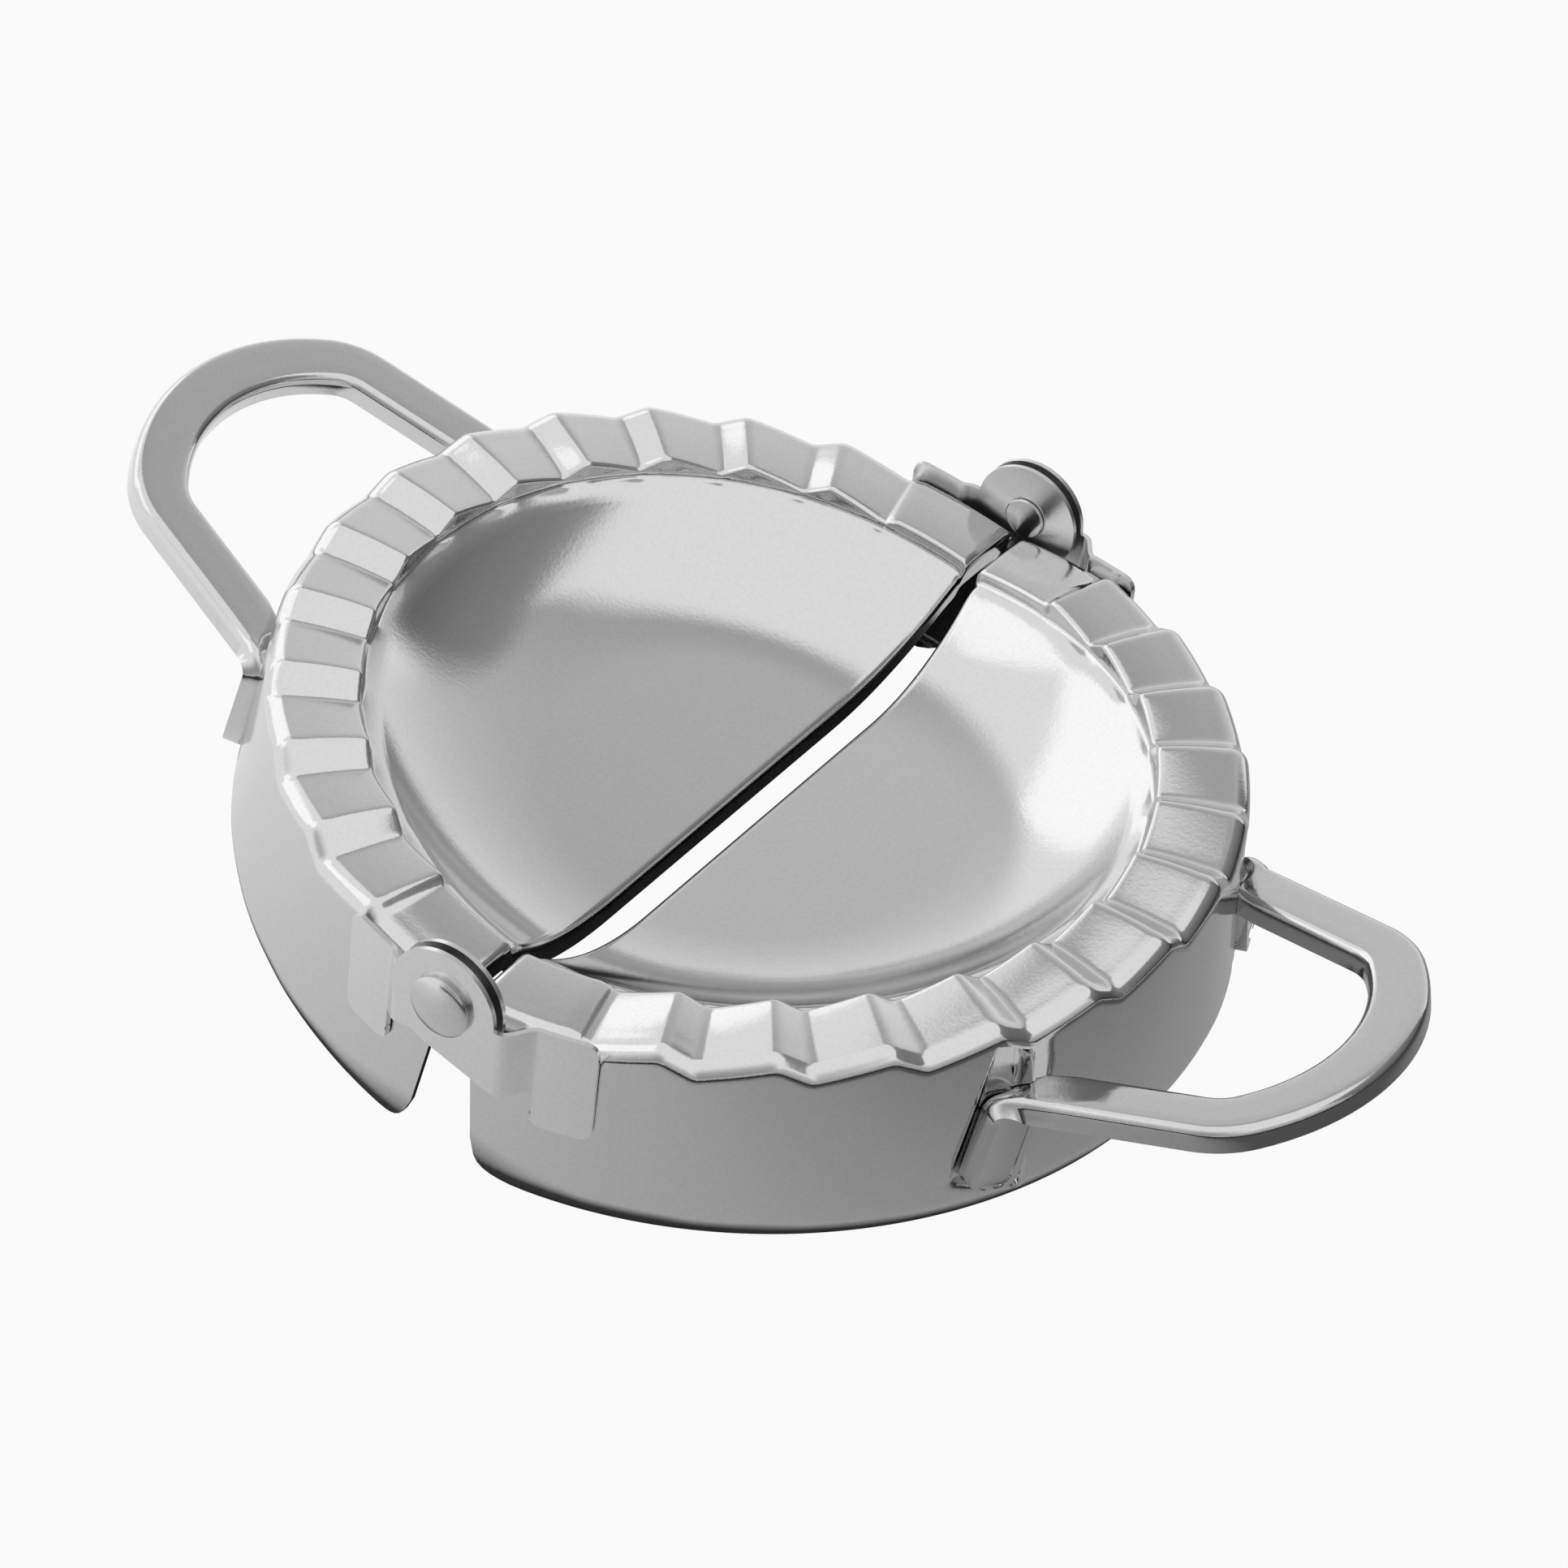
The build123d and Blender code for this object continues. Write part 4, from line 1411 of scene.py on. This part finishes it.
@dataclass
class Rivets:
    """The two domed rivets through the ears.

    The shoulder's points are rises from the head's level and insets from its radius.
    """

    mat: bpy.types.Material
    shank: float = 1.6
    head: float = 3.2
    tail_start: float = 47.8
    tail_end: float = 48.1
    tail: float = 2.2
    seat: float = 50.1
    rise: float = 0.65
    dome: float = 0.80
    steps: int = 72
    tail_round: tuple[float, float] = (0.1, 0.12)
    under_round: tuple[float, float] = (0.2, 0.30)
    shoulder: tuple[tuple[float, float], ...] = ((-0.22, 0.0), (-0.08, 0.01), (0.03, 0.10))
    sharp: float = 35.0

    def profile(self) -> list[tuple[float, float]]:
        """Draws the section of the rivet.

        Returns:
            Points as distance from the middle plane and radius, from the tail to the dome.
        """
        top = self.seat + self.rise
        tail_rise, tail_inset = self.tail_round
        under_rise, under_inset = self.under_round
        points = [
            (self.tail_start, 0.0),
            (self.tail_start, self.tail - tail_inset),
            (self.tail_start + tail_rise, self.tail),
            (self.tail_end, self.tail),
            (self.tail_end, self.shank),
            (self.seat, self.shank),
            (self.seat, self.head - under_inset),
            (self.seat + under_rise, self.head - tail_inset),
        ]
        points += [(top + rise, self.head - inset) for rise, inset in self.shoulder]
        crown = points[-1][1]
        for share in spread(0.08, 1.0, 14):
            radius = crown * (1 - share)
            points.append((top + self.dome * (1 - (radius / self.head) ** 2), radius))
        return points

    def build(self) -> bpy.types.Object:
        """Builds both rivets and stands them in for their CAD nodes.

        Returns:
            The finished piece.
        """
        points: list[Vector] = []
        for y, radius in self.profile():
            for n in range(self.steps):
                a = 2 * math.pi * n / self.steps
                points.append(Vector((radius * math.cos(a), y, radius * math.sin(a))) * MM)
        rows = len(points) // self.steps
        stamp = new_object("rivet_stamp", points, grid_faces(rows, self.steps, closed=True))
        axis = STANCE.place(Half.RIGHT, (0, 0, 0))
        obj = repeat("rivets", stamp, [(axis, (0, 0, 0), 1.0), (axis, (0, 0, math.pi), 1.0)], self.mat)
        soften(obj, self.sharp)
        dress(obj, self.mat, Half.RIGHT.body, ["rivet_far", "rivet_near"])
        return obj


@dataclass
class Welds:
    """Beads of weld where a handle meets its skirt.

    Each bead has its place along, across and under the foot of a leg, and its radius. The lumps
    on a bead are two waves, each with its height.
    """

    handle: Handle
    mat: bpy.types.Material
    beads: tuple[tuple[float, float, float, float], ...] = (
        (0.0, 2.35, 0.95, 0.42),
        (0.5, 2.60, 0.90, 0.30),
        (-0.4, 2.55, 1.05, 0.26),
    )
    squash: float = 0.55
    lumps: tuple[float, float] = (0.10, 0.07)
    turn: Point = (0.4, 0.9, 0.3)
    unevenness: float = 0.25
    sharp: float = 60.0

    def stamp(self) -> bpy.types.Object:
        """Makes the bead that is copied.

        Returns:
            A lumpy bead one millimetre in radius, not linked to the scene.
        """
        mesh = bpy.data.meshes.new("bead")
        broad, fine = self.lumps
        work = bmesh.new()
        bmesh.ops.create_icosphere(work, subdivisions=3, radius=MM)
        for vert in work.verts:
            x, y, z = vert.co / MM
            wave = broad * math.sin(5.1 * x + 1.3) * math.cos(4.3 * y)
            lump = 1 + wave + fine * math.sin(7.7 * z + 2.1 * x)
            vert.co = Vector((x, y, z * self.squash)) * lump * MM
        work.to_mesh(mesh)
        work.free()
        return bpy.data.objects.new("bead", mesh)

    def places(self) -> list[tuple[Vector, Point, float]]:
        """Finds where the beads lie at the feet of both legs.

        Returns:
            Position in metres, turn in radians and size of each bead.
        """
        half = self.handle.half
        foot = self.handle.leg_stations()[0]
        roll, pitch, yaw = self.turn
        spots = []
        for side in (1, -1):
            for along, across, under, size in self.beads:
                point = foot.point - foot.across * across - foot.normal * under + Vector((0, 0, along))
                place = STANCE.place(half, (point.x, point.y * side, point.z))
                spots.append((place, (roll, pitch * half.value, yaw * side), size))
        return spots

    def build(self) -> bpy.types.Object:
        """Builds the beads of one handle.

        Returns:
            The finished piece.
        """
        half = self.handle.half
        obj = repeat(f"{half.word}_welds", self.stamp(), self.places(), self.mat, self.unevenness, seed=7)
        soften(obj, self.sharp)
        dress(obj, self.mat, half.body, [])
        return obj


# -------------------------------------------------------------------- studio
@dataclass(frozen=True)
class Panel:
    """A rectangle of the studio that faces the press.

    Its place and size are in degrees seen from the press, its distance in metres. A card glows by
    itself, its painted light running from level at its foot to top_level, and it fades out over
    feather, a share of its side.
    """

    name: str
    azimuth: float
    elevation: float
    wide: float
    tall: float
    level: float
    distance: float = 0.9
    top_level: float = 0.0
    feather: float = 0.12

    def direction(self) -> Vector:
        """Points from the press to the panel's middle, with the azimuth from +Y to +X.

        Returns:
            A unit vector.
        """
        az, el = math.radians(self.azimuth), math.radians(self.elevation)
        return Vector((math.sin(az) * math.cos(el), math.cos(az) * math.cos(el), math.sin(el)))

    def size(self) -> tuple[float, float]:
        """Width and height in metres."""
        return tuple(2 * self.distance * math.tan(math.radians(v / 2)) for v in (self.wide, self.tall))

    def matrix(self) -> Matrix:
        """Places the panel, its face towards the press.

        Returns:
            The matrix of its middle.
        """
        away = self.direction()
        turn = (-away).to_track_quat("-Z", "Y").to_matrix().to_4x4()
        return Matrix.Translation(away * self.distance) @ turn


@dataclass
class Studio:
    """Pale floor with painted light and a painted shadow in its glow, soft lamps, glowing cards, sky and
    camera.
    """

    focal: float = 125.09
    sensor: float = 36.0
    azimuth: float = 27.4575
    elevation: float = 40.9892
    roll: float = 11.288
    distance: float = 522.02
    target: Point = (5.421, -3.290, 20.99)
    lamps: tuple[Panel, ...] = (
        Panel("window_low", -80, 21, 50, 28, 0.36),
        Panel("window_side", -113, 44, 30, 26, 0.34),
    )
    # Cards that glow by themselves, graded from foot to top: painted light seen only in the steel's
    # reflections.
    cards: tuple[Panel, ...] = (
        Panel("back_card", -16, 31, 66, 70, 1.00, 0.9, 0.38),
        Panel("flag", 47, 29, 60, 50, 0.08, 0.7, 0.34),
        Panel("right_card", 112, 16, 92, 58, 0.08, 0.9, 0.80, 0.25),
        Panel("front_card", 172, 34, 74, 72, 0.05, 0.9, 0.85, 0.42),
    )
    wall_arc: tuple[float, float] = (20, 200)
    wall_height: float = 0.16
    wall_distance: float = 0.88
    wall_tone: float = 0.03
    room_tone: float = 0.75
    floor_side: float = 3.0
    floor_tone: float = 0.10
    floor_seen: float = 0.95
    # Painted light and shadow in the floor's glow, which only the steel sees: white fading from the left
    # across x, and none under the press.
    glow_across: tuple[float, float] = (-0.10, 0.12)
    glow_levels: tuple[float, float] = (1.0, 0.03)
    glow_around: tuple[float, float] = (0.0485, 0.0520)

    def camera(self) -> None:
        """Places the camera, turned about the press and rolled about its own line of sight."""
        data = bpy.data.cameras.new("camera")
        data.sensor_width = self.sensor
        data.lens = self.focal
        data.clip_start, data.clip_end = 0.01, 20.0
        az, el, roll = (math.radians(v) for v in (self.azimuth, self.elevation, self.roll))
        back = Vector((math.sin(az) * math.cos(el), -math.cos(az) * math.cos(el), math.sin(el)))
        side = Vector((0, 0, 1)).cross(back).normalized()
        top = back.cross(side)
        right = side * math.cos(roll) + top * math.sin(roll)
        up = -side * math.sin(roll) + top * math.cos(roll)
        obj = bpy.data.objects.new("camera", data)
        place = Matrix((right, up, back)).transposed().to_4x4()
        place.translation = (Vector(self.target) + back * self.distance) * MM
        obj.matrix_world = place
        bpy.context.scene.collection.objects.link(obj)
        bpy.context.scene.camera = obj

    def lamp(self, panel: Panel) -> None:
        """Hangs a soft rectangular lamp whose level is its brightness.

        Args:
            panel: Where it hangs, its size and its level.
        """
        data = bpy.data.lights.new(panel.name, "AREA")
        data.shape = "RECTANGLE"
        data.size, data.size_y = panel.size()
        data.energy = panel.level * math.pi * data.size * data.size_y
        obj = bpy.data.objects.new(panel.name, data)
        obj.matrix_world = panel.matrix()
        bpy.context.scene.collection.objects.link(obj)

    def card(self, panel: Panel) -> None:
        """Stands a card that glows by itself, painted light in place of a lit grey card, graded from foot to
        top; it darkens part of the steel's reflections.

        Args:
            panel: Where it stands, its size and its tone.
        """
        wide, tall = (v / 2 for v in panel.size())
        corners = [(-wide, -tall, 0), (wide, -tall, 0), (wide, tall, 0), (-wide, tall, 0)]
        obj = link_mesh(panel.name, corners, [(0, 1, 2, 3)])
        obj.data.uv_layers.new(name="card").data.foreach_set("uv", (0, 0, 1, 0, 1, 1, 0, 1))
        obj.data.transform(panel.matrix())
        mat = bare_material(panel.name)
        tree = mat.node_tree
        where = add_node(tree, "ShaderNodeUVMap", {}, uv_map="card")
        split = add_node(tree, "ShaderNodeSeparateXYZ", {"Vector": where.outputs["UV"]})
        covers = []
        for axis in "XY":
            inputs = {0: split.outputs[axis], 1: 0.5}
            inset = add_node(tree, "ShaderNodeMath", inputs, operation="PINGPONG").outputs["Value"]
            covers.append(ramp(tree, inset, (0.0, panel.feather), shape="SMOOTHSTEP"))
        cover = add_node(tree, "ShaderNodeMath", dict(enumerate(covers)), operation="MULTIPLY")
        # painted light: the card's glow runs from its foot to its top
        level = ramp(tree, split.outputs["Y"], (0.0, 1.0), (panel.level, panel.top_level))
        clear = add_node(tree, "ShaderNodeBsdfTransparent", {})
        glow = add_node(tree, "ShaderNodeEmission", {"Strength": level})
        mix_shaders(tree, cover.outputs["Value"], clear, glow)
        self.stand(obj, mat)

    def stand(self, obj: bpy.types.Object, mat: bpy.types.Material) -> None:
        """Dresses a piece of the studio that only reflected and transmitted rays see.

        Args:
            obj: The piece.
            mat: Its material.
        """
        obj.data.materials.append(mat)
        obj.visible_camera = False
        obj.visible_diffuse = False
        obj.visible_shadow = False

    def skirting(self) -> None:
        """Stands a low dark wall on the front and right, which draws lines along rounded edges."""
        points = []
        for level in (0.0, self.wall_height):
            for azimuth in spread(*self.wall_arc, 48):
                a = math.radians(azimuth)
                points.append((self.wall_distance * math.sin(a), self.wall_distance * math.cos(a), level))
        obj = link_mesh("skirting", points, grid_faces(2, len(points) // 2))
        mat = bpy.data.materials.new("skirting")
        mat.use_nodes = True
        shader = mat.node_tree.nodes["Principled BSDF"]
        shader.inputs["Base Color"].default_value = (*[self.wall_tone] * 3, 1)
        self.stand(obj, mat)

    def seen_share(
        self, tree: bpy.types.NodeTree, camera: float, metal: float | bpy.types.NodeSocket
    ) -> bpy.types.NodeSocket:
        """Share of the plain white that a ray sees, by the kind of ray.

        Args:
            tree: The node tree that needs it.
            camera: Share for the camera's rays.
            metal: Share for reflected and transmitted rays.

        Returns:
            The socket that holds the share.
        """
        rays = add_node(tree, "ShaderNodeLightPath", {})
        shares = {"Is Camera Ray": camera, "Is Glossy Ray": metal, "Is Transmission Ray": metal}
        total: float | bpy.types.NodeSocket = 0.0
        for name, share in shares.items():
            inputs = {0: rays.outputs[name], 1: share, 2: total}
            total = add_node(tree, "ShaderNodeMath", inputs, operation="MULTIPLY_ADD").outputs["Value"]
        return total

    def sky(self) -> None:
        """Makes the world: soft grey light, plain white where the camera or the steel sees it."""
        world = bpy.data.worlds.new("room")
        bpy.context.scene.world = world
        world.use_nodes = True
        tree = world.node_tree
        room = tree.nodes["Background"]
        room.inputs["Color"].default_value = (*[self.room_tone] * 3, 1)
        white = add_node(tree, "ShaderNodeBackground", {"Color": (1, 1, 1, 1)})
        mix_shaders(tree, self.seen_share(tree, 1.0, 1.0), room, white)

    def floor_glow(self, tree: bpy.types.NodeTree) -> bpy.types.NodeSocket:
        """Share of white glow that the steel sees on the floor: a painted pool of light, more on the left,
        and a painted shadow, none underneath the press.

        Args:
            tree: The floor's node tree.

        Returns:
            The socket that holds the share.
        """
        where = add_node(tree, "ShaderNodeTexCoord", {}).outputs["Object"]
        split = add_node(tree, "ShaderNodeSeparateXYZ", {"Vector": where})
        away = add_node(tree, "ShaderNodeVectorMath", {0: where}, operation="LENGTH")
        # painted light: the glow fades from the left across the floor
        across = ramp(tree, split.outputs["X"], self.glow_across, self.glow_levels)
        # painted shadow: no glow within the press's footprint
        around = ramp(tree, away.outputs["Value"], self.glow_around)
        share = add_node(tree, "ShaderNodeMath", {0: across, 1: around}, operation="MULTIPLY")
        return share.outputs["Value"]

    def floor(self) -> None:
        """Lays the pale floor, which keeps the press's shadow in its paint; the glow that the steel sees on
        it holds painted light and a painted shadow.
        """
        side = self.floor_side
        corners = [(-side, -side, 0), (side, -side, 0), (side, side, 0), (-side, side, 0)]
        obj = link_mesh("floor", corners, [(0, 1, 2, 3)])
        mat = bare_material("floor_paint")
        tree = mat.node_tree
        paint = add_node(tree, "ShaderNodeBsdfDiffuse", {"Color": (*[self.floor_tone] * 3, 1)})
        glow = add_node(tree, "ShaderNodeEmission", {"Strength": 1.0})
        # the steel sees the floor's painted light and painted shadow through this glow
        mix_shaders(tree, self.seen_share(tree, self.floor_seen, self.floor_glow(tree)), paint, glow)
        obj.data.materials.append(mat)

    def build(self) -> None:
        """Sets up the whole studio."""
        bpy.context.scene.view_settings.view_transform = "Standard"
        self.camera()
        self.sky()
        self.floor()
        for panel in self.lamps:
            self.lamp(panel)
        for panel in self.cards:
            self.card(panel)
        self.skirting()


def main() -> None:
    """Builds the whole press and its studio."""
    logging.basicConfig(level=logging.INFO, format="%(name)s %(message)s")
    kinds = Finishes()
    steels = (kinds.shell, kinds.handle, kinds.leaf, kinds.rivet, kinds.washer, kinds.weld)
    shell, handle, leaf, rivet, washer, weld = (steel.material() for steel in steels)
    for half in Half:
        Shell(half, shell).build()
        grip = Handle(half, handle)
        grip.build()
        Welds(grip, weld).build()
        shape = OUTER_LEAF if half is Half.RIGHT else INNER_LEAF
        for end in End:
            Leaf(half, end, shape, leaf).build()
    Rivets(rivet).build()
    for end in End:
        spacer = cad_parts[f"spacer_{end.word}"]
        spacer.data.materials.clear()
        spacer.data.materials.append(washer)
        LOG.info("piece %s: its CAD shape in washer steel", spacer.name)
    Studio().build()


if __name__ == "__main__":
    main()
